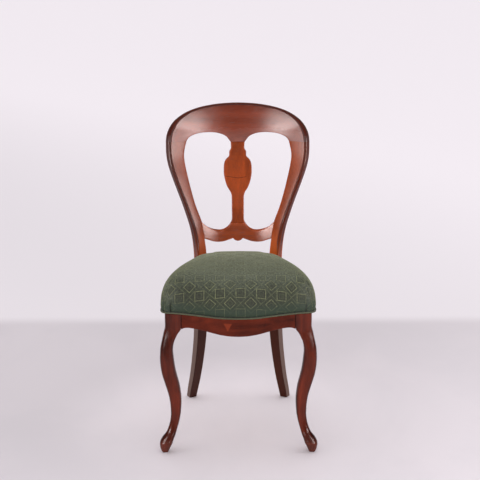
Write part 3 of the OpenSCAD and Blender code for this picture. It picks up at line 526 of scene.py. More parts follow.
RAIL_TOP, LEG_X, LEG_Y, LEG_HALF, _ = LEG_ROWS[-1]
LEG_IN = LEG_X - LEG_HALF
LEG_BACK = LEG_Y + LEG_HALF
LIP = 11.0
LEDGE_Z = RAIL_TOP - 38.8
SIDE_LEDGE_Z = LEDGE_Z - 2.1
SIDE_LOW = CHAIR_H * 0.382
HOUSE_ROW = post_row((LEDGE_Z + RAIL_TOP) / 2)
_, HOUSE_WIDE, _, HOUSE_SIDE, HOUSE_DEEP = post_frame(HOUSE_ROW)
HOUSE_IN, HOUSE_OUT = post_front(HOUSE_ROW), post_front(HOUSE_ROW, 1.0)


def rail_section(thick, low, ledge, arris):
    """Rail profile as depth behind the show face and height: arris below, ledge behind the lip if there is one."""
    turns = np.radians(np.linspace(270, 180, 6))
    points = [(arris * (1 + math.cos(t)), low + arris * (1 + math.sin(t))) for t in turns]
    points += [(0.0, low + arris + (RAIL_TOP - 0.8 - low - arris) * t) for t in (0.1, 0.5, 0.9)]
    shelf = RAIL_TOP if ledge is None else ledge
    return points + [
        (0.0, RAIL_TOP - 0.8), (0.8, RAIL_TOP), (LIP - 0.5, RAIL_TOP), (LIP, RAIL_TOP - (0 if ledge is None else 0.5)),
        (LIP + 0.02, shelf), (thick - 0.8, shelf), (thick, shelf - 0.8), (thick, low + 1.2), (thick - 1.2, low)]


def ledge_stations(*runs):
    """Places along a rail and which of them have the ledge: the middle run does."""
    places = np.concatenate([np.linspace(*run) for run in runs])
    return places, np.repeat([False, True, False], [run[2] for run in runs])


FRONT_RAIL_T, FRONT_LEDGE_HALF = 30.0, 95.1


def front_rail_rings(arris):
    """The shaped front rail between the legs."""
    end, half = LEG_IN - FIT, FRONT_LEDGE_HALF
    xs, in_ledge = ledge_stations((-end, -half, 22), (-half, half, 62), (half, end, 22))
    face, low = (through(*np.transpose(rows), np.abs(xs)) for rows in (RAIL_FACE, RAIL_LOW))
    return np.array([[(x, y + depth, height) for depth, height in
                      rail_section(FRONT_RAIL_T, z, LEDGE_Z if ledge else None, arris)]
                     for x, y, z, ledge in zip(xs, face, low, in_ledge)])


# The side rail's show face and inner face, from the front leg to the post.
SIDE_A = np.array([LEG_X + LEG_HALF * 0.84, LEG_BACK + FIT])
SIDE_B = HOUSE_OUT + np.array([-0.02, -0.25]) * HOUSE_WIDE
SIDE_IN_A = np.array([LEG_X - LEG_HALF * 0.25, LEG_BACK + FIT])
SIDE_IN_B = HOUSE_IN + np.array([0.15, -0.45]) * HOUSE_WIDE
SIDE_OUT_WAY = unit(np.array([SIDE_B[1] - SIDE_A[1], SIDE_A[0] - SIDE_B[0]]))
SIDE_BULGE = 36.0
SIDE_LEDGE = (78.3, 318.6)
TENON = 4.0


def side_outer(t):
    """A point of the side rail's bowed show face."""
    t = np.asarray(t, float)[..., None]
    return mixed(SIDE_A, SIDE_B, t) + SIDE_OUT_WAY * SIDE_BULGE * t * (1 - t)


SIDE_FINE = side_outer(np.linspace(0, 1, 400))


def side_rail_rings(arris):
    """The right side rail, whose last ring is let into the post."""
    t0, t1 = np.interp(SIDE_LEDGE, SIDE_FINE[:, 1], np.linspace(0, 1, 400))
    ts, in_ledge = ledge_stations((0, t0, 5), (t0, t1, 40), (t1, 1, 5))
    rings = [side_ring(side_outer(t), mixed(SIDE_IN_A, SIDE_IN_B, t), ledge, arris) for t, ledge in zip(ts, in_ledge)]
    outer, inner = (HOUSE_IN + HOUSE_SIDE * share * HOUSE_WIDE + HOUSE_DEEP * TENON for share in (0.87, 0.135))
    return np.array(rings + [side_ring(outer, inner, False, arris)])


def side_ring(outer, inner, ledge, arris):
    """One ring of the side rail between a point of its show face and one of its inner face."""
    thick = np.linalg.norm(inner - outer)
    section = rail_section(thick, SIDE_LOW, SIDE_LEDGE_Z if ledge else None, arris)
    return [(*(outer + (inner - outer) / thick * depth), height) for depth, height in section]


# The seat.
SEAT_MID = np.array([0.0, 170.1])
SEAT_REACH = 213.46
SEAT_STEP = 2.4


def seat_outlines():
    """The seat outline, its rear without the post notches, and its squarer corners at the piping."""
    soft = SEAT_LINE[:len(SEAT_LINE) - len(SOFT_REAR)] + SOFT_REAR
    square = SEAT_LINE[:4] + SEAT_CORNER + SEAT_LINE[9:]
    loop = whole(np.column_stack([np.array(line, float) for line in (SEAT_LINE, soft, square)]))[:-1]
    n = len(loop)
    wrapped = np.vstack([loop[-4:], loop, loop[:5]])
    knots = steps_along(wrapped[:, :2])
    first, last = knots[4], knots[4 + n]
    count = int((last - first) / SEAT_STEP) // 2 * 2
    at = first + (last - first) * np.arange(count) / count
    points = np.column_stack([through(knots, column, at) for column in wrapped.T])
    return [blurred_loop(points[:, c:c + 2], reach / SEAT_STEP) for c, reach in ((0, 7.2), (2, 7.2), (4, 5.0))]


OUTLINE, SOFT_OUTLINE, SQUARE_OUTLINE = seat_outlines()
ROUND_OUTLINE = blurred_loop(SOFT_OUTLINE, 64 / SEAT_STEP)


def seat_ring(share, height):
    """The seat outline drawn in to a share of itself, without post notches towards the middle."""
    w = eased((share - 0.55) / 0.41)
    k = eased((share - 0.9) / 0.07) * eased(1 - (height - SEAT_Z) / 38)
    soft = mixed(ROUND_OUTLINE, SOFT_OUTLINE, w)
    edge = mixed(OUTLINE, SQUARE_OUTLINE, k)
    plan = SEAT_MID + (mixed(soft, edge, w) - SEAT_MID) * share
    return np.column_stack([plan, np.full(len(plan), float(height))])


def outline_ways():
    """Outward directions of the outline, softened so that the cloth turns its corners evenly."""
    way = np.roll(SOFT_OUTLINE, -1, axis=0) - np.roll(SOFT_OUTLINE, 1, axis=0)
    out = np.stack([way[:, 1], -way[:, 0]], axis=-1)
    if (out * (SOFT_OUTLINE - SEAT_MID)).sum() < 0:
        out = -out
    return unit(blurred_loop(out, 17.5 / SEAT_STEP))


def profile(rows, spacing, passes):
    """A section of the seat drawn out evenly: share of the outline and height above the rails."""
    return dense(rows, steps_along(np.array(rows, float) * [SEAT_REACH, 1]), spacing, passes)


def tube(path, radius, sides):
    """Rings of a round cord along a path, rounded off at its ends."""
    way = unit(np.gradient(path, axis=0))
    side = unit(np.cross(way, [0.0, 0.0, 1.0]))
    top = np.cross(side, way)
    angles = np.radians(np.arange(sides) * 360 / sides)[:, None]
    rings = path[:, None] + radius * (side[:, None] * np.cos(angles) + top[:, None] * np.sin(angles))

    def tip(end, share, reach):
        return path[end] + (rings[end] - path[end]) * share + way[end] * radius * reach

    return np.array([tip(0, 0.5, -0.75), tip(0, 0.82, -0.45), *rings, tip(-1, 0.82, 0.45), tip(-1, 0.5, 0.75)])


# Pleats at the front corners: how far from the middle, and how deep.
PLEATS = ((184.0, 1.8), (203.0, 0.8))


def pleat_depth(height):
    """How far the pleats push each point of a ring outward."""
    strength = eased((52 - height) / 34) * eased(height / 4 + 0.3)
    along = steps_along(np.vstack([OUTLINE, OUTLINE[:1]]))
    along, length = along[:-1], along[-2]
    push = np.zeros(len(OUTLINE))
    rear = 1000 * (OUTLINE[:, 1] >= 40)
    for where, size in PLEATS:
        for side, share in ((1, 0.6), (-1, 1.0)):
            spot = np.argmin(np.abs(OUTLINE[:, 0] - side * where) + rear)
            off = ((along - along[spot]) * side + length / 2) % length - length / 2
            push += size * share * (1.5 * np.exp(-((off - 9) / 6.5) ** 2) - 2.6 * np.exp(-(off / 2.9) ** 2)
                                    + 0.5 * np.exp(-((off + 8) / 6) ** 2))
    return push * strength


def fan(first, count, tip, turned=False):
    """Triangles from a ring of points to a tip."""
    return [(tip, first + (i if turned else (i + 1) % count), first + ((i + 1) % count if turned else i))
            for i in range(count)]


def cushion_mesh():
    """The stuffed seat: patterned cover outside, hollow over the canvas underneath, with its cloth coordinates."""
    cover = profile(COVER_ROWS, 3.4, 2)
    under = profile(CANVAS_ROWS, 6.0, 1) + [-0.008, 1.7]
    under[:2] = (0.884, 0.3), (0.872, 0.5)
    ways = outline_ways()
    run = steps_along(cover * [SEAT_REACH, 1])
    arc = run[-1] - run + 0.03 * SEAT_REACH
    rings, excess = [], []
    for (share, height), length in zip(cover[::-1], arc[::-1]):
        ring = seat_ring(share, SEAT_Z + height)
        ring[:, 2] -= REAR_FALL * height / CROWN * np.clip((ring[:, 1] - SEAT_MID[1]) / 222, 0, 1) ** 1.5
        ring[:, :2] += ways * pleat_depth(height)[:, None]
        rings.append(ring)
        excess.append(length - share * SEAT_REACH)
    rings = np.array(rings + [seat_ring(share, SEAT_Z + height) for share, height in under])
    excess = np.array(excess + excess[-1:] * len(under))[:, None, None]
    n, m = rings.shape[:2]
    reach = np.concatenate([cover[::-1, 0], np.ones(len(under))])
    tight = eased((reach - 0.45) / 0.45)[:, None, None]
    turned = np.degrees(np.arctan2(np.abs(ways[:, 0]), -ways[:, 1]))
    square = np.radians(90 * eased((turned - 36) / 18) + np.where(turned > 90, turned - 90, 0))
    straight = np.stack([np.sin(square) * np.sign(ways[:, 0]), -np.cos(square)], axis=-1)
    bow = np.where(straight[:, 1] < 0, (OUTLINE[:, 1] + 42.0) * -straight[:, 1], 0.0)
    cloth = rings.copy()
    cloth[..., :2] += excess * unit(mixed(ways, straight, tight))
    cloth[..., 1] -= 0.39 * bow * tight[..., 0]
    cloth[..., 2] = np.concatenate([cover[::-1, 1], under[:, 1]])[:, None]
    points = np.vstack([rings.reshape(-1, 3), [[*SEAT_MID, SEAT_Z + CROWN], [*SEAT_MID, SEAT_Z + 60.0]]])
    cloth = np.vstack([cloth.reshape(-1, 3), [[*SEAT_MID, CROWN], [*SEAT_MID, 0.0]]])
    return points, ring_faces(n, m) + fan(0, m, n * m) + fan((n - 1) * m, m, n * m + 1, True), cloth


# Shader sums.
def summed(operation):
    """A method that works one sum on a field, alone or with another value."""
    return lambda self, other=0.0: self.paint.sum(operation, self, other)


class Field:
    """A value that varies over a surface, for plain arithmetic between shader nodes."""

    def __init__(self, paint, socket):
        self.paint, self.socket = paint, socket

    __add__, __sub__ = summed("ADD"), summed("SUBTRACT")
    __mul__, __truediv__ = summed("MULTIPLY"), summed("DIVIDE")
    abs, fraction, sine = summed("ABSOLUTE"), summed("FRACT"), summed("SINE")
    power, greater = summed("POWER"), summed("MAXIMUM")

    def clamp(self):
        return self.paint.sum("ADD", self, 0.0, clamp=True)

    def step(self, low, high):
        """Rises smoothly from 0 to 1 between low and high, or falls if low is the larger."""
        limits = {"From Min": min(low, high), "From Max": max(low, high),
                  "To Min": float(low > high), "To Max": float(low <= high)}
        node = self.paint.node("ShaderNodeMapRange", {"Value": self, **limits}, interpolation_type="SMOOTHSTEP")
        return Field(self.paint, node.outputs["Result"])


class Sums:
    """The nodes of a material or of the room."""

    def __init__(self, tree):
        self.tree = tree

    def node(self, kind, inputs=None, **settings):
        """A new node with its settings, and with a value or another node's result in each named input."""
        node = self.tree.nodes.new(kind)
        for key, value in settings.items():
            setattr(node, key, value)
        for name, value in (inputs or {}).items():
            self.feed(node.inputs[name], value)
        return node

    def feed(self, socket, value):
        value = getattr(value, "socket", value)
        if isinstance(value, bpy.types.NodeSocket):
            self.tree.links.new(value, socket)
        else:
            socket.default_value = value

    def sum(self, operation, a, b=0.0, clamp=False):
        return Field(self, self.node("ShaderNodeMath", {0: a, 1: b}, operation=operation, use_clamp=clamp).outputs[0])

    def parts(self, vector):
        return [Field(self, out) for out in self.node("ShaderNodeSeparateXYZ", {0: vector}).outputs]

    def blend(self, amount, first, second, kind="MIX"):
        """One colour laid over another by an amount."""
        node = self.node("ShaderNodeMix", data_type="RGBA", blend_type=kind)
        for slot, value in ((0, amount), (6, first), (7, second)):
            self.feed(node.inputs[slot], value)
        return Field(self, node.outputs[2])


class Paint(Sums):
    """One procedural material and the sums that feed it."""

    def __init__(self, name, roughness=0.5, **constants):
        self.material = bpy.data.materials.new(name)
        self.material.use_nodes = True
        super().__init__(self.material.node_tree)
        self.shader = self.tree.nodes["Principled BSDF"]
        for socket, value in {"Roughness": roughness, **constants}.items():
            self.shader.inputs[socket.replace("_", " ")].default_value = value
        self.place = self.node("ShaderNodeTexCoord").outputs["Object"]

    def stretched(self, scale, shift=(0, 0, 0)):
        """The place on the chair, scaled along each axis and shifted."""
        node = self.node("ShaderNodeMapping", {"Vector": self.place, "Scale": scale, "Location": shift})
        return node.outputs["Vector"]

    def noise(self, vector, scale, detail, roughness=0.5, distortion=0.0):
        node = self.node("ShaderNodeTexNoise", {"Vector": vector, "Scale": scale, "Detail": detail,
                                                "Roughness": roughness, "Distortion": distortion})
        return Field(self, node.outputs[0])

    def mark(self, name, part=None):
        """A mark kept on the mesh, or one part of it."""
        node = self.node("ShaderNodeAttribute", attribute_name=name)
        return Field(self, node.outputs["Fac"]) if part is None else self.parts(node.outputs["Vector"])[part]

    def facing(self, axis):
        """How far the surface faces along one axis."""
        return self.parts(self.node("ShaderNodeNewGeometry").outputs["Normal"])[axis]

    def finish(self, colour, roughness, height, depth, strength):
        """Feeds the shader: roughness may be none, and height becomes a bump of that depth in metres."""
        self.feed(self.shader.inputs["Base Color"], colour)
        if roughness is not None:
            self.feed(self.shader.inputs["Roughness"], roughness)
        bump = self.node("ShaderNodeBump", {"Distance": depth, "Strength": strength, "Height": height})
        self.feed(self.shader.inputs["Normal"], bump.outputs[0])
        return self.material


def tone(red, green, blue):
    """A colour given in 0 to 255 screen values."""
    return tuple(((v / 255 + 0.055) / 1.055) ** 2.4 if v > 10 else v / 255 / 12.92 for v in (red, green, blue)) + (1.0,)


def scaled(colour, *shares):
    """A colour multiplied by one share, or by one for each of red, green and blue."""
    return tuple(c * k for c, k in zip(colour, shares * (3 // len(shares)))) + (1.0,)


GRAIN_STRETCH = {"X": (0.06, 1, 1), "Y": (1, 0.06, 1), "Z": (1, 1, 0.06)}
# Grey of dusty wear on the toes, and also of the painted side light on the outer faces of the rear legs.
DUST_AND_SIDE_LIGHT = (0.22, 0.145, 0.12, 1.0)


def polished_wood(name, colour, grain, shift, gloss, figure=0.35, mottle=0.5, shine=0.45, crack=None, pale_figure_and_painted_light=None,
                  painted_shade=None, dust_and_side_light=None, dull=None):
    """French polished mahogany with grain along one axis of the chair."""
    paint = Paint(name, gloss, Specular_IOR_Level=shine)
    along_grain = GRAIN_STRETCH[grain]
    pore_grain = tuple(c * (0.6 if c < 1 else 1) for c in along_grain)
    along = paint.stretched(along_grain, (shift, shift * 0.7, shift * 1.3))
    bands = paint.noise(along, 26, 3, 0.55, 0.6)
    fibres = paint.noise(along, 420, 4, 0.6)
    pores = paint.noise(paint.stretched(pore_grain, (shift * 2, 0.3, 0.1)), 900, 2, 0.5)
    broad = paint.noise(paint.stretched((1, 1, 1), (shift, 0.2, 0.4)), 7, 3, 0.5)
    cross = paint.noise(paint.stretched((1, 1, 1), (shift, 0.9, 0.4)), 55, 3, 0.6)
    body = (bands - 0.5) * figure * 2 + (fibres - 0.5) * 0.55 + (broad - 0.5) * mottle + 0.5
    shade = paint.blend(body.clamp(), scaled(colour, 0.4), scaled(colour, 1.6))
    pore = pores.step(0.63, 0.7) * 0.75
    shade = paint.blend(pore, shade, scaled(colour, 0.2))
    wear, stain = paint.mark("wear"), paint.mark("stain")
    # Paler worn arrises; on the front legs the same mark also paints the highlight along the toe's arris.
    rubbed = wear * cross.step(0.42, 0.62)
    shade = paint.blend(rubbed * 0.32, shade, scaled(colour, 1.9, 2.1, 2.1))
    # Painted shade: this mark darkens the sunk moulding and outer side faces of the hoop and the sides of the front
    # legs, with some old dirt in the moulding; it also darkens the legs just above the toe.
    shade = paint.blend(stain * 0.97, shade, scaled(colour, 0.18, 0.1, 0.1))
    rough = (broad - 0.5) * 0.14 + gloss + (fibres - 0.5) * 0.08 + pore * 0.25 + rubbed * 0.08 - stain * 0.09
    rough = rough + stain.step(0.86, 0.98) * 0.4
    # Painted shade below the seat on the posts; on the rear legs, paler outer faces that are dusty wear and painted
    # side light; on the toes, dusty wear. Each also dulls the polish.
    for cover, tint, dulling in ((painted_shade, scaled(colour, 0.13), 0.3), (dust_and_side_light, DUST_AND_SIDE_LIGHT, 0.35)):
        if cover is not None:
            amount = cover(paint)
            shade = paint.blend(amount, shade, tint)
            rough = rough + amount * dulling
    if dull is not None:
        rough = rough + dull(paint) * 0.16
    height = (fibres - 0.5) * 0.25 - pore
    # A paler patch: the front rail's real paler figure, and painted light on the fronts of the posts.
    if pale_figure_and_painted_light is not None:
        shade = paint.blend(pale_figure_and_painted_light(paint) * 0.5, shade, scaled(colour, 2.4, 2.7, 2.6))
    if crack is not None:
        line = crack(paint)
        shade = paint.blend(line * 0.8, shade, scaled(colour, 0.1))
        height = height - line * 2
    return paint.finish(shade, rough.clamp(), height, 0.00012, 0.7)


def raw_wood(name, colour, grain, shift):
    """Unpolished secondary timber of blocks and dowels, sawn and handled."""
    paint = Paint(name, 0.7)
    along = paint.stretched(GRAIN_STRETCH[grain], (shift, 0.3, shift))
    rings = paint.noise(along, 60, 3, 0.6, 0.8)
    fibres = paint.noise(along, 600, 3, 0.6)
    dirt = paint.noise(paint.place, 30, 4, 0.6)
    body = ((rings - 0.5) * 0.9 + (fibres - 0.5) * 0.6 + 0.5).clamp()
    shade = paint.blend(body, scaled(colour, 0.55), scaled(colour, 1.2))
    shade = paint.blend(dirt.step(0.5, 0.75) * 0.4, shade, scaled(colour, 0.3))
    return paint.finish(shade, (fibres * 0.3 + 0.55).clamp(), fibres + rings * 0.5, 0.0003, 0.6)


def metal(name, colour, roughness, tarnish):
    """Drawn or turned metal with tarnish and fine scratches."""
    paint = Paint(name, roughness, Metallic=0.85)
    spots = paint.noise(paint.place, 160, 4, 0.6)
    scratches = paint.noise(paint.stretched((1, 1, 0.05), (0.1, 0.2, 0.3)), 1500, 2, 0.5)
    shade = paint.blend(spots.step(0.42, 0.68), tone(*colour), tone(*tarnish))
    rough = (spots * 0.35 + scratches * 0.15 + roughness - 0.2).clamp()
    return paint.finish(shade, rough, scratches + spots, 0.0001, 0.4)


def woven(name, colour, pitch, threads, thread_colour):
    """Plain weave of yarns spaced at pitch in metres, with some threads of another colour."""
    paint = Paint(name, 0.85, Sheen_Weight=0.15)
    a, b, _ = paint.parts(paint.place)
    turn = math.pi / pitch
    over = (a * turn).sine() * (b * turn).sine()
    yarn = (a * 2 * turn).sine().abs() * 0.5 + (b * 2 * turn).sine().abs() * 0.5
    slub = paint.noise(paint.stretched((1, 0.12, 1), (0.4, 0.1, 0.2)), 500, 3, 0.6)
    worn = paint.noise(paint.place, 22, 4, 0.6)
    level = (over * 0.22 + yarn * 0.35 + (slub - 0.5) * 0.7 + (worn - 0.5) * 0.6 + 0.4).clamp()
    shade = paint.blend(level, scaled(colour, 0.42), scaled(colour, 1.25))
    shade = paint.blend(threads(paint) * 0.7, shade, thread_colour)
    return paint.finish(shade, None, over + yarn + slub * 0.6, 0.0004, 0.8)


# The woven figures, in millimetres of cloth: half sizes of the squares and diamonds and of the ones inside them.
SQUARE, DIAMOND, SMALL_SQUARE, SMALL_DIAMOND = 12.3, 15.9, 6.0, 7.5
RIB_PITCH, PICK_PITCH = 1.5, 0.9


def seat_fabric(name, look):
    """Ribbed upholstery cloth woven with squares and diamonds, drawn in cloth coordinates, with painted light and
    shade: lighter on the crown, its back and its sides, darker on the walls and foot, and painted shade in the corner
    pleats and by the piping.
    """
    paint = Paint(name, 0.82, Sheen_Weight=0.6, Sheen_Roughness=0.28, Sheen_Tint=look.sheen)
    u, v, lift = (paint.mark("cloth", k) for k in range(3))
    wobble = paint.noise(paint.place, 30, 2, 0.5)
    pitch = look.repeat / MM

    def from_figure(along, first):
        return ((((along - first) / pitch + (wobble - 0.5) * 0.03 + 0.5).fraction() - 0.5) * pitch).abs()

    au, av = from_figure(u, look.column), from_figure(v, look.row)
    square = au.greater(av)
    diamond = (au * -1 + pitch / 2) + (av * -1 + pitch / 2)
    fill = square.step(SQUARE, SQUARE - 1).greater(diamond.step(DIAMOND, DIAMOND - 1)).clamp()
    rim = (square - SQUARE).abs().step(1.15, 0.45).greater((diamond - DIAMOND).abs().step(1.5, 0.6))
    trellis = ((au + av) - pitch / 2).abs().step(1.6, 0.6) * 0.4
    inner = (square - SMALL_SQUARE).abs().step(1.4, 0.6).greater((diamond - SMALL_DIAMOND).abs().step(1.6, 0.8)) * 0.16
    ribs = (u * (2 * math.pi / RIB_PITCH)).sine()
    picks = (v * (2 * math.pi / PICK_PITCH)).sine()
    slub = paint.noise(paint.stretched((1, 1, 1), (0.3, 0.1, 0.2)), 420, 3, 0.75)
    patches = paint.noise(paint.place, 14, 3, 0.55)
    # Painted light and shade: the crown and the far sides take the lighter lit colours, the walls the darker shaded
    # copies of the same cloth.
    lit_share = lift.step(60.0, 108.0).greater(u.abs().step(142.0, 206.0))
    ground = paint.blend(lit_share, look.shaded_low_ground, look.lit_top_ground)
    # Painted sheen: the ground grows lighter towards the back of the crown.
    ground = paint.blend(v.step(90.0, 310.0), ground, scaled(look.lit_top_ground, 2.1, 2.05, 2.5))
    # The outlines and figures also change from their shaded to their lit copies up the walls.
    light = paint.blend(lift.step(86.0, 122.0), look.shaded_low_line, look.lit_top_line)
    dark = paint.blend(lift.step(74.0, 108.0), look.shaded_low_fill, look.lit_top_fill)
    shade = paint.blend(fill * 0.5, ground, dark)
    shade = paint.blend((rim.greater(trellis).greater(inner)) * 0.9, shade, light)
    yarns = paint.node("ShaderNodeCombineXYZ", {0: u * 0.24, 1: v * 0.2, 2: lift * 0.02})
    tufts = paint.noise(yarns.outputs[0], 1.0, 2, 0.6)
    weave = ribs * 0.2 + picks * 0.12 + (slub - 0.5) * 0.9 + (tufts - 0.5) * 2.7 + (patches - 0.5) * 0.7 + 0.5
    shadow = paint.blend(weave.clamp(), (0.3, 0.32, 0.3, 1), (1.42, 1.4, 1.4, 1))
    shade = paint.blend(0.85, shade, shadow, "MULTIPLY")
    # Painted shade: the foot of the seat, undercut by the bulge of the stuffing, is darkened.
    shade = paint.blend(lift.step(50.0, 16.0) * (rim * -0.2 + 0.85), shade, look.foot)
    # Painted shade in the pleats at the front corners.
    crease_shade = (u.abs() - 184.0 - lift * 0.12).abs().step(2.8, 0.8) * lift.step(46.0, 14.0)
    shade = paint.blend(crease_shade * 0.75, shade, scaled(look.foot, 0.25))
    # Painted shadow in the gap between the seat and its piping.
    seam_shadow = (lift - (patches - 0.5) * 14 - (slub - 0.5) * 8).step(8.0, 2.5)
    shade = paint.blend(seam_shadow * 0.92, shade, scaled(look.foot, 0.15))
    height = ribs * 0.35 + picks * 0.2 + slub * 0.9 + tufts * 0.8 + rim * 0.9 - fill * 0.2
    return paint.finish(shade, (slub * 0.2 + 0.68).clamp(), height, 0.00028, 0.75)


def piping_cloth(name, look):
    """Bias-cut covering of the piping: the seat cloth cut on the slant, in the seat's shaded wall colours, with painted
    shadow on its upper side where the seat overhangs it.
    """
    paint = Paint(name, 0.8, Sheen_Weight=0.3)
    x, y, z = paint.parts(paint.place)
    ribs = ((x + y * 0.6 + z * 1.4) * (2 * math.pi / 0.0017)).sine()
    slub = paint.noise(paint.place, 800, 3, 0.6)
    patches = paint.noise(paint.place, 45, 3, 0.6)
    level = (ribs * 0.2 + (slub - 0.5) * 0.9 + (patches - 0.5) * 0.8 + 0.5).clamp()
    shade = paint.blend(level, scaled(look.shaded_low_ground, 0.6), scaled(look.shaded_low_line, 0.8))
    # Painted shadow on the upper side of the cord, under the overhang of the seat.
    shade = paint.blend(paint.facing(2).step(0.45, 0.98) * 0.7, shade, scaled(look.shaded_low_fill, 0.35))
    return paint.finish(shade, None, ribs * 0.5 + slub, 0.0003, 0.8)


# The sizes and finishes that a user may change.
class ChairFrameSettings(bpy.types.PropertyGroup):
    """Sizes and finish of the show wood."""

    arris: FloatProperty(name="Eased edge", description="Radius of the rounded edges of the show wood",
                         default=2.2 * MM, min=0.5 * MM, max=3.5 * MM, unit="LENGTH", precision=4)
    bead_width: FloatProperty(name="Hoop moulding", description="Width of the sunk moulding round the hoop",
                              default=7.7 * MM, min=4 * MM, max=13 * MM, unit="LENGTH", precision=4)
    bead_drop: FloatProperty(name="Moulding depth", description="How far the hoop moulding is sunk",
                             default=2.4 * MM, min=0.5 * MM, max=3.5 * MM, unit="LENGTH", precision=4)
    splat_thickness: FloatProperty(name="Splat thickness", description="Thickness of the sawn splat",
                                   default=16 * MM, min=12 * MM, max=20 * MM, unit="LENGTH", precision=4)
    cross_thickness: FloatProperty(name="Cross rail thickness", description="Thickness of the cross rail",
                                   default=20 * MM, min=15 * MM, max=24 * MM, unit="LENGTH", precision=4)
    gloss: FloatProperty(name="Polish roughness", description="Roughness of the French polish",
                         default=0.23, min=0.05, max=0.9, subtype="FACTOR")
    crest_colour: FloatVectorProperty(name="Crest colour", description="Colour of the crest rail and the posts",
                                      default=tone(150, 62, 34), size=4, min=0, max=1, subtype="COLOR")
    splat_colour: FloatVectorProperty(name="Splat colour", description="Colour of the splat and the cross rail",
                                      default=tone(178, 76, 28), size=4, min=0, max=1, subtype="COLOR")
    leg_colour: FloatVectorProperty(name="Leg colour", description="Colour of the front legs and the seat rails",
                                    default=tone(108, 40, 21), size=4, min=0, max=1, subtype="COLOR")


class ChairSeatSettings(bpy.types.PropertyGroup):
    """Cloth, cord and springs of the seat."""

    repeat: FloatProperty(name="Pattern repeat", description="Distance from one woven square to the next",
                          default=55.6 * MM, min=20 * MM, max=120 * MM, unit="LENGTH", precision=4)
    column: FloatProperty(name="Pattern column", description="Millimetres from the middle to a column of squares",
                          default=6.0)
    row: FloatProperty(name="Pattern row", description="Millimetres of cloth from the front line to a row of squares",
                       default=-41.7)
    fill: FloatProperty(name="Stuffing", description="How tightly the seat is stuffed", default=0.85,
                        min=0, max=1, subtype="FACTOR")
    welt: FloatProperty(name="Piping diameter", description="Diameter of the covered piping cord",
                        default=4.8 * MM, min=2 * MM, max=9 * MM, unit="LENGTH", precision=4)
    wire: FloatProperty(name="Spring wire", description="Diameter of the spring wire",
                        default=3.6 * MM, min=2 * MM, max=5 * MM, unit="LENGTH", precision=4)
    # The crown and wall colours are lit and shaded copies of one cloth: painted light on the crown, painted shade on
    # the walls.
    lit_top_ground: FloatVectorProperty(name="Crown ground", description="Ground colour of the cloth on the crown",
                                    default=tone(93, 101, 82), size=4, min=0, max=1, subtype="COLOR")
    lit_top_line: FloatVectorProperty(name="Crown outlines", description="Outline colour of the pattern on the crown",
                                  default=tone(116, 123, 97), size=4, min=0, max=1, subtype="COLOR")
    lit_top_fill: FloatVectorProperty(name="Crown figures", description="Fill colour of the pattern on the crown",
                                  default=tone(86, 93, 72), size=4, min=0, max=1, subtype="COLOR")
    shaded_low_ground: FloatVectorProperty(name="Wall ground", description="Ground colour of the cloth on the walls",
                                    default=tone(51, 62, 30), size=4, min=0, max=1, subtype="COLOR")
    shaded_low_line: FloatVectorProperty(name="Wall outlines", description="Outline colour of the pattern on the walls",
                                  default=tone(134, 140, 92), size=4, min=0, max=1, subtype="COLOR")
    shaded_low_fill: FloatVectorProperty(name="Wall figures", description="Fill colour of the pattern on the walls",
                                  default=tone(46, 53, 24), size=4, min=0, max=1, subtype="COLOR")
    # Painted shade at the foot of the seat, under the bulge of the stuffing.
    foot: FloatVectorProperty(name="Foot of the seat", description="Colour of the shaded cloth by the piping",
                              default=tone(40, 65, 42), size=4, min=0, max=1, subtype="COLOR")
    sheen: FloatVectorProperty(name="Sheen", description="Colour of the cloth's soft sheen",
                               default=tone(190, 195, 130), size=4, min=0, max=1, subtype="COLOR")


class ChairStageSettings(bpy.types.PropertyGroup):
    """Floor and light of the pale studio."""

    floor_near: FloatVectorProperty(name="Near floor", description="Colour of the floor round the chair",
                                    default=tone(217, 211, 215), size=4, min=0, max=1, subtype="COLOR")
    floor_far: FloatVectorProperty(name="Far floor", description="Colour of the floor behind the chair",
                                   default=tone(252, 247, 251), size=4, min=0, max=1, subtype="COLOR")
    softbox: FloatProperty(name="Softbox brightness", description="Strength of the two softboxes", default=40.0,
                           min=0, unit="POWER")
    fill: FloatProperty(name="Front fill", description="Power of the broad light beside the camera", default=21.0,
                        min=0, unit="POWER")
    dome: FloatProperty(name="Room brightness", description="Strength of the light from the room", default=1.0,
                        min=0, max=5)


# One operator for each piece, or for each group of like pieces.
def hoop_look(context):
    """The show wood's settings, and the hoop's moulding in millimetres."""
    look = context.scene.chair_frame
    return look, (look.bead_width / MM, look.bead_drop / MM, look.arris / MM)


def shade_below_seat(paint):
    """Painted shade: the posts darken below the seat, standing in for the shade that the seat casts on them."""
    height = paint.parts(paint.place)[2] + (paint.noise(paint.place, 9, 3, 0.5) - 0.5) * 0.05
    return height.step(0.41, 0.31) * 0.95


def worn_and_lit_sides(paint):
    """The outer faces of the rear legs are paler and greyer: dusty wear, and painted light from the sides."""
    return paint.facing(0).abs().step(0.5, 0.8) * paint.parts(paint.place)[2].step(0.39, 0.34) * 0.85


def painted_light_on_posts(paint):
    """Painted light: the front faces of the posts are paler between the seat and the cross rail, standing in for light
    that the seat keeps from them.
    """
    height = paint.parts(paint.place)[2]
    front = paint.facing(1).step(-0.2, -0.6)
    return height.step(0.57, 0.51) * height.step(0.37, 0.42) * front * (paint.mark("stain") * -1 + 1) * 1.25


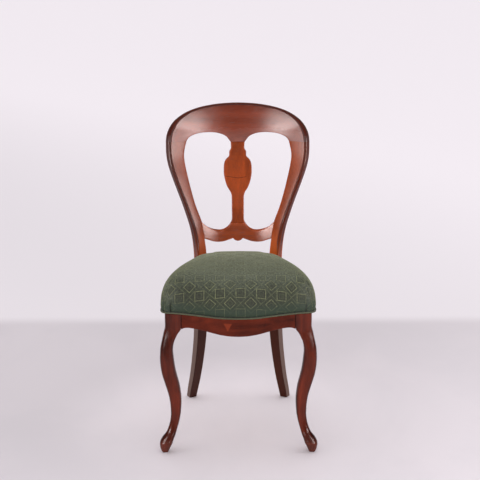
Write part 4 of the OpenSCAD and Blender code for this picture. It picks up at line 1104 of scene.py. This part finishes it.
class CHAIR_OT_back_posts(bpy.types.Operator):
    """Build the two back posts, each a rear leg and a side of the hoop in one length"""

    bl_idname = "chair.back_posts"
    bl_label = "Back Posts"

    def execute(self, context):
        look, moulding = hoop_look(context)
        rings, wear, stain = post_rings(*moulding)
        for side, shape, shift, warm, shine in (
                ("right", rings, 1.7, 1.4, 0.17), ("left", mirrored(rings), 4.1, 1.05, 0.25)):
            wood = scaled(look.crest_colour, warm, warm * 1.1, 1)
            material = polished_wood("polished post " + side, wood, "Z", shift, look.gloss, shine=shine,
                                     pale_figure_and_painted_light=painted_light_on_posts, painted_shade=shade_below_seat, dust_and_side_light=worn_and_lit_sides)
            piece = lofted("back_post_wood_" + side, shape, wear=wear, stain=stain)
            settle(piece, "frame_wood", material, "back_post_" + side)
        return {"FINISHED"}


def crest_ends(paint):
    """The polish of the crest rail is duller towards its joints."""
    return paint.parts(paint.place)[2].step(0.86, 0.812)


class CHAIR_OT_crest_rail(bpy.types.Operator):
    """Build the crest rail that closes the top of the hoop"""

    bl_idname = "chair.crest_rail"
    bl_label = "Crest Rail"

    def execute(self, context):
        look, moulding = hoop_look(context)
        rings, wear, stain = crest_rings(*moulding)
        material = polished_wood("polished crest", look.crest_colour, "X", 0.6, look.gloss, figure=0.5, mottle=0.4,
                                 shine=0.55, dull=crest_ends)
        settle(lofted("crest_rail_wood", rings, wear=wear, stain=stain), "frame_wood", material, "crest_rail")
        return {"FINISHED"}


SAWN_EDGE = 0.25


class CHAIR_OT_cross_rail(bpy.types.Operator):
    """Build the shaped cross rail under the splat"""

    bl_idname = "chair.cross_rail"
    bl_label = "Cross Rail"

    def execute(self, context):
        look = context.scene.chair_frame
        rings, wear = cross_rings(look.cross_thickness / MM, look.arris / MM)
        material = polished_wood("polished cross rail", look.splat_colour, "X", 2.9, look.gloss, figure=0.6, mottle=0.7)
        settle(lofted("cross_rail_wood", rings, SAWN_EDGE, wear=wear), "frame_wood", material, "cross_rail")
        return {"FINISHED"}


def splat_crack(paint):
    """A hairline crack across the widest part of the splat."""
    x, _, z = paint.parts(paint.place)
    drift = paint.noise(paint.place, 35, 2, 0.5)
    height = z + (drift - 0.5) * 0.003 - (x - 0.002).abs() * 0.16
    return (height - 0.699).abs().step(0.0011, 0.0004) * (x + 0.008).abs().step(0.036, 0.03)


class CHAIR_OT_splat(bpy.types.Operator):
    """Build the vase-shaped splat in the middle of the back"""

    bl_idname = "chair.splat"
    bl_label = "Splat"

    def execute(self, context):
        look = context.scene.chair_frame
        rings, wear = splat_rings(look.splat_thickness / MM, look.arris / MM)
        material = polished_wood("polished splat", look.splat_colour, "Z", 5.3, look.gloss, figure=0.75, mottle=0.35,
                                 shine=0.25, crack=splat_crack)
        settle(lofted("splat_wood", rings, SAWN_EDGE, wear=wear), "splat_wood", material, "splat")
        return {"FINISHED"}


def toe_dust(paint):
    """The feet of the front legs are greyed by the floor."""
    height = paint.parts(paint.place)[2] + (paint.noise(paint.place, 25, 3, 0.5) - 0.5) * 0.04
    return height.step(0.06, 0.01) * 0.12


class CHAIR_OT_front_legs(bpy.types.Operator):
    """Build the two cabriole front legs"""

    bl_idname = "chair.front_legs"
    bl_label = "Front Legs"

    def execute(self, context):
        look = context.scene.chair_frame
        # The wear mark here also carries the painted highlight along the toe's arris, and the darkening mark carries
        # the painted shade on the sides of the legs.
        rings, wear, stain = leg_rings()
        for side, shape, shift in (("right", rings, 7.7), ("left", mirrored(rings), 9.4)):
            material = polished_wood("polished leg " + side, look.leg_colour, "Z", shift, look.gloss, figure=1.1,
                                     mottle=2.2, shine=0.22, dust_and_side_light=toe_dust)
            piece = lofted("front_leg_wood_" + side, shape, 0.6, wear=wear, stain=stain)
            settle(piece, "frame_wood", material, "front_leg_" + side)
        return {"FINISHED"}


def front_patch(paint):
    """A paler flame of grain in the middle of the front rail."""
    x, _, z = paint.parts(paint.place)
    drift = paint.noise(paint.stretched((1, 1, 0.4)), 60, 3, 0.6)
    reach = (z - 0.368) * 0.55 + (drift - 0.5) * 0.008
    return ((x + 0.029).abs() - reach).step(0.002, -0.002) * z.step(0.391, 0.386) * 1.5


def rail_joints(paint):
    """Old polish in the joints between the front rail and the legs."""
    x, _, _ = paint.parts(paint.place)
    return (x.abs() - (LEG_IN - FIT) * MM).abs().step(0.0026, 0.0008)


class CHAIR_OT_seat_rails(bpy.types.Operator):
    """Build the front and side seat rails and finish the rear rail"""

    bl_idname = "chair.seat_rails"
    bl_label = "Seat Rails"

    def execute(self, context):
        look = context.scene.chair_frame
        wood, arris = look.leg_colour, look.arris / MM
        flamed = {"figure": 1.0, "mottle": 2.0, "shine": 0.12}
        material = polished_wood("polished front rail", wood, "X", 3.3, look.gloss, **flamed,
                                 pale_figure_and_painted_light=front_patch, crack=rail_joints)
        rings = front_rail_rings(arris)
        settle(lofted("front_rail_wood", rings, wear=curve_wear(rings, 7, 3)), "frame_wood", material,
               "front_seat_rail")
        rings = side_rail_rings(arris)
        for side, shape, shift in (("right", rings, 6.2), ("left", mirrored(rings), 8.8)):
            material = polished_wood("polished side rail " + side, wood, "Y", shift, look.gloss, **flamed)
            piece = lofted("side_rail_wood_" + side, shape, wear=curve_wear(shape, 7, 3))
            settle(piece, "frame_wood", material, "side_seat_rail_" + side)
        dress("rear_seat_rail", polished_wood("polished rear rail", wood, "X", 9.9, look.gloss), 0.0012)
        return {"FINISHED"}


def dress(node, material, bevel=0.0):
    """Gives a CAD node that stays its detailed material, with eased edges where bevel is given."""
    piece = bpy.data.objects[node]
    for slot in piece.material_slots:
        slot.material = material
    if not piece.material_slots:
        piece.data.materials.append(material)
    if bevel:
        easing = piece.modifiers.new("eased edges", "BEVEL")
        easing.width = bevel
        easing.segments = 3
        easing.limit_method = "ANGLE"
        easing.angle_limit = math.radians(40)
        easing.harden_normals = False


class CHAIR_OT_joinery(bpy.types.Operator):
    """Finish the corner blocks, screws, dowels and tacks that hold the frame together"""

    bl_idname = "chair.joinery"
    bl_label = "Blocks and Fasteners"

    def execute(self, context):
        for n, corner in enumerate(("front_corner_block_left", "front_corner_block_right",
                                    "rear_corner_block_left", "rear_corner_block_right")):
            dress(corner, raw_wood("sawn beech " + corner, tone(176, 137, 92), "X", 1.3 + n), 0.001)
        for n, (dowels, grain) in enumerate((("rail_dowels", "X"), ("crest_dowels", "Z"), ("cross_rail_dowels", "X"))):
            dress(dowels, raw_wood("turned beech " + dowels, tone(196, 160, 112), grain, 7.1 + n))
        dress("corner_block_screws", metal("worn steel", (150, 146, 138), 0.42, (96, 72, 54)))
        dress("webbing_tacks", metal("blued steel", (78, 80, 86), 0.45, (70, 48, 36)))
        return {"FINISHED"}


class CHAIR_OT_cushion(bpy.types.Operator):
    """Build the stuffed seat with its patterned cover"""

    bl_idname = "chair.cushion"
    bl_label = "Stuffed Seat"

    def execute(self, context):
        look = context.scene.chair_seat
        points, faces, cloth = cushion_mesh()
        piece = mesh_piece("seat_cushion", points, faces, {"cloth": cloth}, 60)
        settle(piece, "cover_fabric", seat_fabric("square and diamond cloth", look), "seat_cover", "seat_stuffing")
        return {"FINISHED"}


# How far the cord's middle lies in from the seat's foot and above the rails, and where its runs stop at the posts.
CORD_IN, CORD_UP = 2.4, 2.55
FRONT_RUN_END, REAR_RUN_START = (126, 344.2), (83, 389)


class CHAIR_OT_piping(bpy.types.Operator):
    """Build the covered piping round the foot of the seat"""

    bl_idname = "chair.piping"
    bl_label = "Piping"

    def execute(self, context):
        look = context.scene.chair_seat
        path = seat_ring(1 - CORD_IN / SEAT_REACH, SEAT_Z + CORD_UP)
        count = len(path)
        half = path[:count // 2]
        front_end, rear_start = (int(np.argmin(np.hypot(half[:, 0] - x, half[:, 1] - y)))
                                 for x, y in (FRONT_RUN_END, REAR_RUN_START))
        around = np.arange(-front_end, front_end + 1) % count
        behind = np.arange(rear_start, count - rear_start + 1) % count
        material = piping_cloth("bias piping cloth", look)
        for node, picks in (("seat_piping", around), ("rear_piping", behind)):
            piece = bundle(node + "_cord", [tube(path[picks], look.welt / 2 / MM, 12)], sharp=60)
            settle(piece, "piping", material, node)
        return {"FINISHED"}


SPRING_SPOTS = ((-61.9, 110.2), (61.9, 110.2), (0, 194.9), (-50, 261.9), (50, 261.9))
SPRING_TURNS = 4.25
SPRING_WAIST, SPRING_FLARE = 19.0, 10.0
SPRING_LOW, SPRING_HIGH = 363.9, 454.4


def spring_path(spot):
    """Centre line of one waisted coil spring."""
    t = np.linspace(0, 1, 340)
    angle = 2 * math.pi * SPRING_TURNS * t
    radius = SPRING_WAIST + SPRING_FLARE * np.abs(2 * t - 1) ** 1.5
    height = SPRING_LOW + (SPRING_HIGH - SPRING_LOW) * eased(t)
    return np.stack([spot[0] + radius * np.cos(angle), spot[1] + radius * np.sin(angle), height], axis=-1)


class CHAIR_OT_springs(bpy.types.Operator):
    """Build the coil springs that stand on the webbing"""

    bl_idname = "chair.springs"
    bl_label = "Springs"

    def execute(self, context):
        radius = context.scene.chair_seat.wire / 2 / MM
        piece = bundle("coil_springs", [tube(spring_path(spot), radius, 10) for spot in SPRING_SPOTS], sharp=60)
        settle(piece, "spring_wire", metal("coppered wire", (176, 122, 74), 0.38, (92, 66, 48)), "seat_springs")
        return {"FINISHED"}


def loose_threads(paint):
    """Loose darker threads in the canvas."""
    return paint.noise(paint.stretched((0.2, 1, 1)), 260, 2, 0.5).step(0.66, 0.72)


# The canvas: the height of its middle above the rails, its thickness, and its thinner outer edge.
CANVAS_TOP, CANVAS_T, EDGE_T = 58.4, 0.9, 0.25
CANVAS_IN, EDGE_FROM = 0.0045, 0.86


class CHAIR_OT_canvas(bpy.types.Operator):
    """Build the canvas stretched over the springs"""

    bl_idname = "chair.canvas"
    bl_label = "Spring Canvas"

    def execute(self, context):
        rows = profile(CANVAS_ROWS, 5.0, 1)
        outer = [seat_ring(s, SEAT_Z + h) for s, h in rows]
        inner = [seat_ring(s - CANVAS_IN, SEAT_Z + h + (CANVAS_T if s < EDGE_FROM else EDGE_T)) for s, h in rows]
        rings = np.array(outer + inner[::-1])
        n, m = rings.shape[:2]
        half = n // 2 * m
        tips = [[*SEAT_MID, SEAT_Z + height] for height in (CANVAS_TOP, CANVAS_TOP + CANVAS_T)]
        points = np.vstack([rings.reshape(-1, 3), tips])
        faces = ring_faces(n, m)
        del faces[half - m:half]
        faces += fan(half - m, m, n * m, True) + fan(half, m, n * m + 1)
        last = (n - 1) * m
        faces += [((i + 1) % m, i, last + i, last + (i + 1) % m) for i in range(m)]
        piece = mesh_piece("canvas_cloth", points, faces, {}, 60)
        material = woven("hessian canvas", tone(168, 140, 98), 0.0021, loose_threads, tone(120, 98, 66))
        settle(piece, "canvas", material, "spring_canvas")
        return {"FINISHED"}


STRAP_W = 50.0
STRAP_T = 1.8
STRIPE_OUT = 0.0165
LONG_XS = (-61.9, 0.0, 61.9)
CROSS_YS = (110.2, 194.9, 279.7)
LONG_LOW, CROSS_LOW, LONG_REAR = 360.01, 357.91, 373.6
STRAP_TURN = LIP + 2.4


def strap_rings(centres, across, low):
    """Rings of a flat strap with rolled edges, through centres in plan, with its lower face at a height."""
    half, bulge = STRAP_W / 2 - STRAP_T / 2, STRAP_T / 2
    section = []
    for side in (1, -1):
        section += [(side * (half + bulge * math.cos(t)), side * bulge * math.sin(t))
                    for t in np.radians(np.linspace(-90, 90, 5))]
        section += [(side * half * (1 - 2 * k / 12), side * (bulge - 0.15 * (k % 2))) for k in range(1, 12)]
    w, h = np.array(section).T[..., None]
    ring = w * [*across, 0.0] + h * [0.0, 0.0, 1.0]
    return np.array([np.array([*centre, low + bulge]) + ring for centre in centres])


def webbing_stripe(side_axis, centres):
    """Two dark warp stripes along each strap."""
    def stripe(paint):
        place = paint.parts(paint.place)[side_axis]
        lines = [((place - centre).abs() - STRIPE_OUT).abs().step(0.0021, 0.0011) for centre in centres]
        return lines[0].greater(lines[1]).greater(lines[2])
    return stripe


class CHAIR_OT_webbing(bpy.types.Operator):
    """Build the interlaced webbing straps under the springs"""

    bl_idname = "chair.webbing"
    bl_label = "Webbing"

    def execute(self, context):
        fronts = through(*np.transpose(RAIL_FACE), np.abs(LONG_XS)) + STRAP_TURN
        reaches = np.interp(CROSS_YS, *SIDE_FINE.T[::-1]) - STRAP_TURN
        long_straps = [strap_rings([(x, y) for y in np.linspace(front, LONG_REAR, 90)], (1.0, 0.0), LONG_LOW)
                       for x, front in zip(LONG_XS, fronts)]
        cross_straps = [strap_rings([(x, y) for x in np.linspace(-reach, reach, 90)], (0.0, 1.0), CROSS_LOW)
                        for y, reach in zip(CROSS_YS, reaches)]
        for run, straps, stripe in (
                ("long", long_straps, webbing_stripe(0, [x * MM for x in LONG_XS])),
                ("cross", cross_straps, webbing_stripe(1, [(y - DEPTH_MID) * MM for y in CROSS_YS]))):
            material = woven(run + " webbing straps jute", tone(182, 152, 108), 0.0026, stripe, tone(92, 62, 44))
            settle(bundle(run + "_webbing_straps", straps, sharp=50), "webbing", material, run + "_webbing")
        return {"FINISHED"}


WARM_LIGHT = (1.0, 0.965, 0.955)
LIGHT_AIM = (0, 0.05, 0.6)
# The softboxes: their side, the degrees round from the camera, their width, and their strength for that width.
SOFTBOXES = (("right", 39, 1.25, 1.15), ("left", -35, 0.95, 1.4))
CAMERA_PLACE = (-0.0055, -3.2276, 1.3763)
CAMERA_TURN = (90 - 14.28, 0.12, -0.23)
CAMERA_LENS = 86.49
FLOOR_REACH = 60.0


def aimed(name, azimuth, elevation, distance, size, watts):
    """A rectangular light that looks at the chair from an angle, to the right of the camera where positive."""
    data = bpy.data.lights.new(name, "AREA")
    data.shape = "RECTANGLE"
    data.size, data.size_y = size
    data.energy = watts
    data.color = WARM_LIGHT
    lamp = bpy.data.objects.new(name, data)
    bpy.context.scene.collection.objects.link(lamp)
    a, e = math.radians(azimuth), math.radians(elevation)
    way = (math.sin(a) * math.cos(e), -math.cos(a) * math.cos(e), math.sin(e))
    lamp.location = [at + distance * part for at, part in zip(LIGHT_AIM, way)]
    lamp.rotation_euler = (Vector(LIGHT_AIM) - lamp.location).to_track_quat("-Z", "Y").to_euler()
    return lamp


class CHAIR_OT_stage(bpy.types.Operator):
    """Build the pale floor, the soft studio light and the camera"""

    bl_idname = "chair.stage"
    bl_label = "Studio"

    def execute(self, context):
        look = context.scene.chair_stage
        self.lay_floor(context.scene, look)
        self.light_room(context.scene, look)
        for side, azimuth, width, strength in SOFTBOXES:
            lamp = aimed("softbox_" + side, azimuth, 14, 2.6, (width, 0.8), look.softbox * width * strength)
            lamp.visible_diffuse = False
        aimed("front_fill", 8, 30, 4.0, (3.2, 1.8), look.fill).visible_glossy = False
        self.set_camera(context.scene)
        return {"FINISHED"}

    def lay_floor(self, scene, look):
        """A pale floor, mottled near the chair, that turns into the pale wall behind it, with painted light: the floor
        lighter towards the camera and to the right, a painted pool of light under the chair, and the wall lighter
        upward and to the right.
        """
        mesh = bpy.data.meshes.new("studio_floor")
        corners = [(x * FLOOR_REACH, y * FLOOR_REACH, 0) for x, y in ((-1, -1), (1, -1), (1, 1), (-1, 1))]
        mesh.from_pydata(corners, [], [(0, 1, 2, 3)])
        floor = bpy.data.objects.new("studio_floor", mesh)
        scene.collection.objects.link(floor)
        paint = Paint("pale floor", 0.75, Specular_IOR_Level=0.2)
        x, y, _ = paint.parts(paint.place)
        soft = paint.noise(paint.place, 1.4, 2, 0.5)
        grain = paint.noise(paint.place, 300, 2, 0.5)
        # Painted light: the wall grows lighter upward and to the right.
        wall = paint.blend((y + x * 1.2).step(0.4, 6.0), scaled(look.floor_far, 0.84), look.floor_far)
        # Painted light: the floor grows lighter towards the camera and to the right.
        near = paint.blend((y * -1 + x * 0.8).step(-0.7, 1.1), scaled(look.floor_near, 0.96),
                           scaled(look.floor_near, 1.22))
        # Painted light: a pool of light under the chair that thins out its shadow.
        lit = (x * x + y * y).power(0.5).step(0.62, 0.12)
        near = paint.blend(lit, near, scaled(look.floor_near, 1.3))
        cloud = paint.noise(paint.stretched((1, 0.6, 1)), 2.6, 4, 0.55, 0.5).step(0.35, 0.65)
        near = paint.blend(0.22, near, paint.blend(cloud, (0.9, 0.91, 0.92, 1), (1.1, 1.09, 1.09, 1)), "MULTIPLY")
        shade = paint.blend((y + (soft - 0.5) * 0.03).step(0.88, 1.0), near, wall)
        shade = paint.blend(0.06, shade, paint.blend(grain, (0.7, 0.7, 0.7, 1), (1, 1, 1, 1)), "MULTIPLY")
        mesh.materials.append(paint.finish(shade, None, grain, 0.0002, 0.15))

    def light_room(self, scene, look):
        """Pale light from all round, which the polish sees only dimly, and mostly from above."""
        world = bpy.data.worlds.new("pale room")
        scene.world = world
        world.use_nodes = True
        room = Sums(world.node_tree)
        back = room.tree.nodes["Background"]
        _, y, z = room.parts(room.node("ShaderNodeTexCoord").outputs["Generated"])
        shade = room.blend(z.step(0.1, 0.8), (0.95, 0.93, 0.95, 1), (1.3, 1.27, 1.3, 1))
        shade = room.blend(y.step(-0.75, 0.05), (0.3, 0.29, 0.3, 1), shade)
        mirror = room.blend(z.step(0.55, 1.0), (0.025, 0.02, 0.02, 1), (0.35, 0.33, 0.34, 1))
        glossy = room.node("ShaderNodeLightPath").outputs["Is Glossy Ray"]
        room.feed(back.inputs["Color"], room.blend(glossy, shade, mirror))
        back.inputs["Strength"].default_value = look.dome

    def set_camera(self, scene):
        """The camera that took the photograph's view."""
        data = bpy.data.cameras.new("photo_camera")
        data.sensor_width = 36
        data.lens = CAMERA_LENS
        camera = bpy.data.objects.new("photo_camera", data)
        scene.collection.objects.link(camera)
        camera.location = CAMERA_PLACE
        camera.rotation_euler = [math.radians(turn) for turn in CAMERA_TURN]
        scene.camera = camera
        scene.view_settings.view_transform = "Standard"


class CHAIR_PT_build(bpy.types.Panel):
    """Lists the chair's pieces and their settings"""

    bl_idname = "CHAIR_PT_build"
    bl_label = "Balloon Back Chair"
    bl_space_type = "VIEW_3D"
    bl_region_type = "UI"
    bl_category = "Chair"

    def draw(self, context):
        for title, group, operators in (
                ("Show wood", context.scene.chair_frame, WOOD_OPERATORS),
                ("Seat", context.scene.chair_seat, SEAT_OPERATORS),
                ("Studio", context.scene.chair_stage, STAGE_OPERATORS)):
            box = self.layout.box()
            box.label(text=title)
            for name in group.__annotations__:
                box.prop(group, name)
            for operator in operators:
                box.operator(operator.bl_idname)


WOOD_OPERATORS = (CHAIR_OT_back_posts, CHAIR_OT_crest_rail, CHAIR_OT_cross_rail, CHAIR_OT_splat,
                  CHAIR_OT_front_legs, CHAIR_OT_seat_rails, CHAIR_OT_joinery)
SEAT_OPERATORS = (CHAIR_OT_cushion, CHAIR_OT_piping, CHAIR_OT_springs, CHAIR_OT_canvas, CHAIR_OT_webbing)
STAGE_OPERATORS = (CHAIR_OT_stage,)
GROUPS = (("chair_frame", ChairFrameSettings), ("chair_seat", ChairSeatSettings), ("chair_stage", ChairStageSettings))
CLASSES = (*(group for _, group in GROUPS), *WOOD_OPERATORS, *SEAT_OPERATORS, *STAGE_OPERATORS, CHAIR_PT_build)


def register():
    for cls in CLASSES:
        bpy.utils.register_class(cls)
    for name, group in GROUPS:
        setattr(bpy.types.Scene, name, PointerProperty(type=group))


def unregister():
    for name, _ in GROUPS:
        delattr(bpy.types.Scene, name)
    for cls in reversed(CLASSES):
        bpy.utils.unregister_class(cls)


def main():
    register()
    bpy.ops.chair.back_posts()
    bpy.ops.chair.crest_rail()
    bpy.ops.chair.cross_rail()
    bpy.ops.chair.splat()
    bpy.ops.chair.front_legs()
    bpy.ops.chair.seat_rails()
    bpy.ops.chair.joinery()
    bpy.ops.chair.cushion()
    bpy.ops.chair.piping()
    bpy.ops.chair.springs()
    bpy.ops.chair.canvas()
    bpy.ops.chair.webbing()
    bpy.ops.chair.stage()


if __name__ == "__main__":
    main()
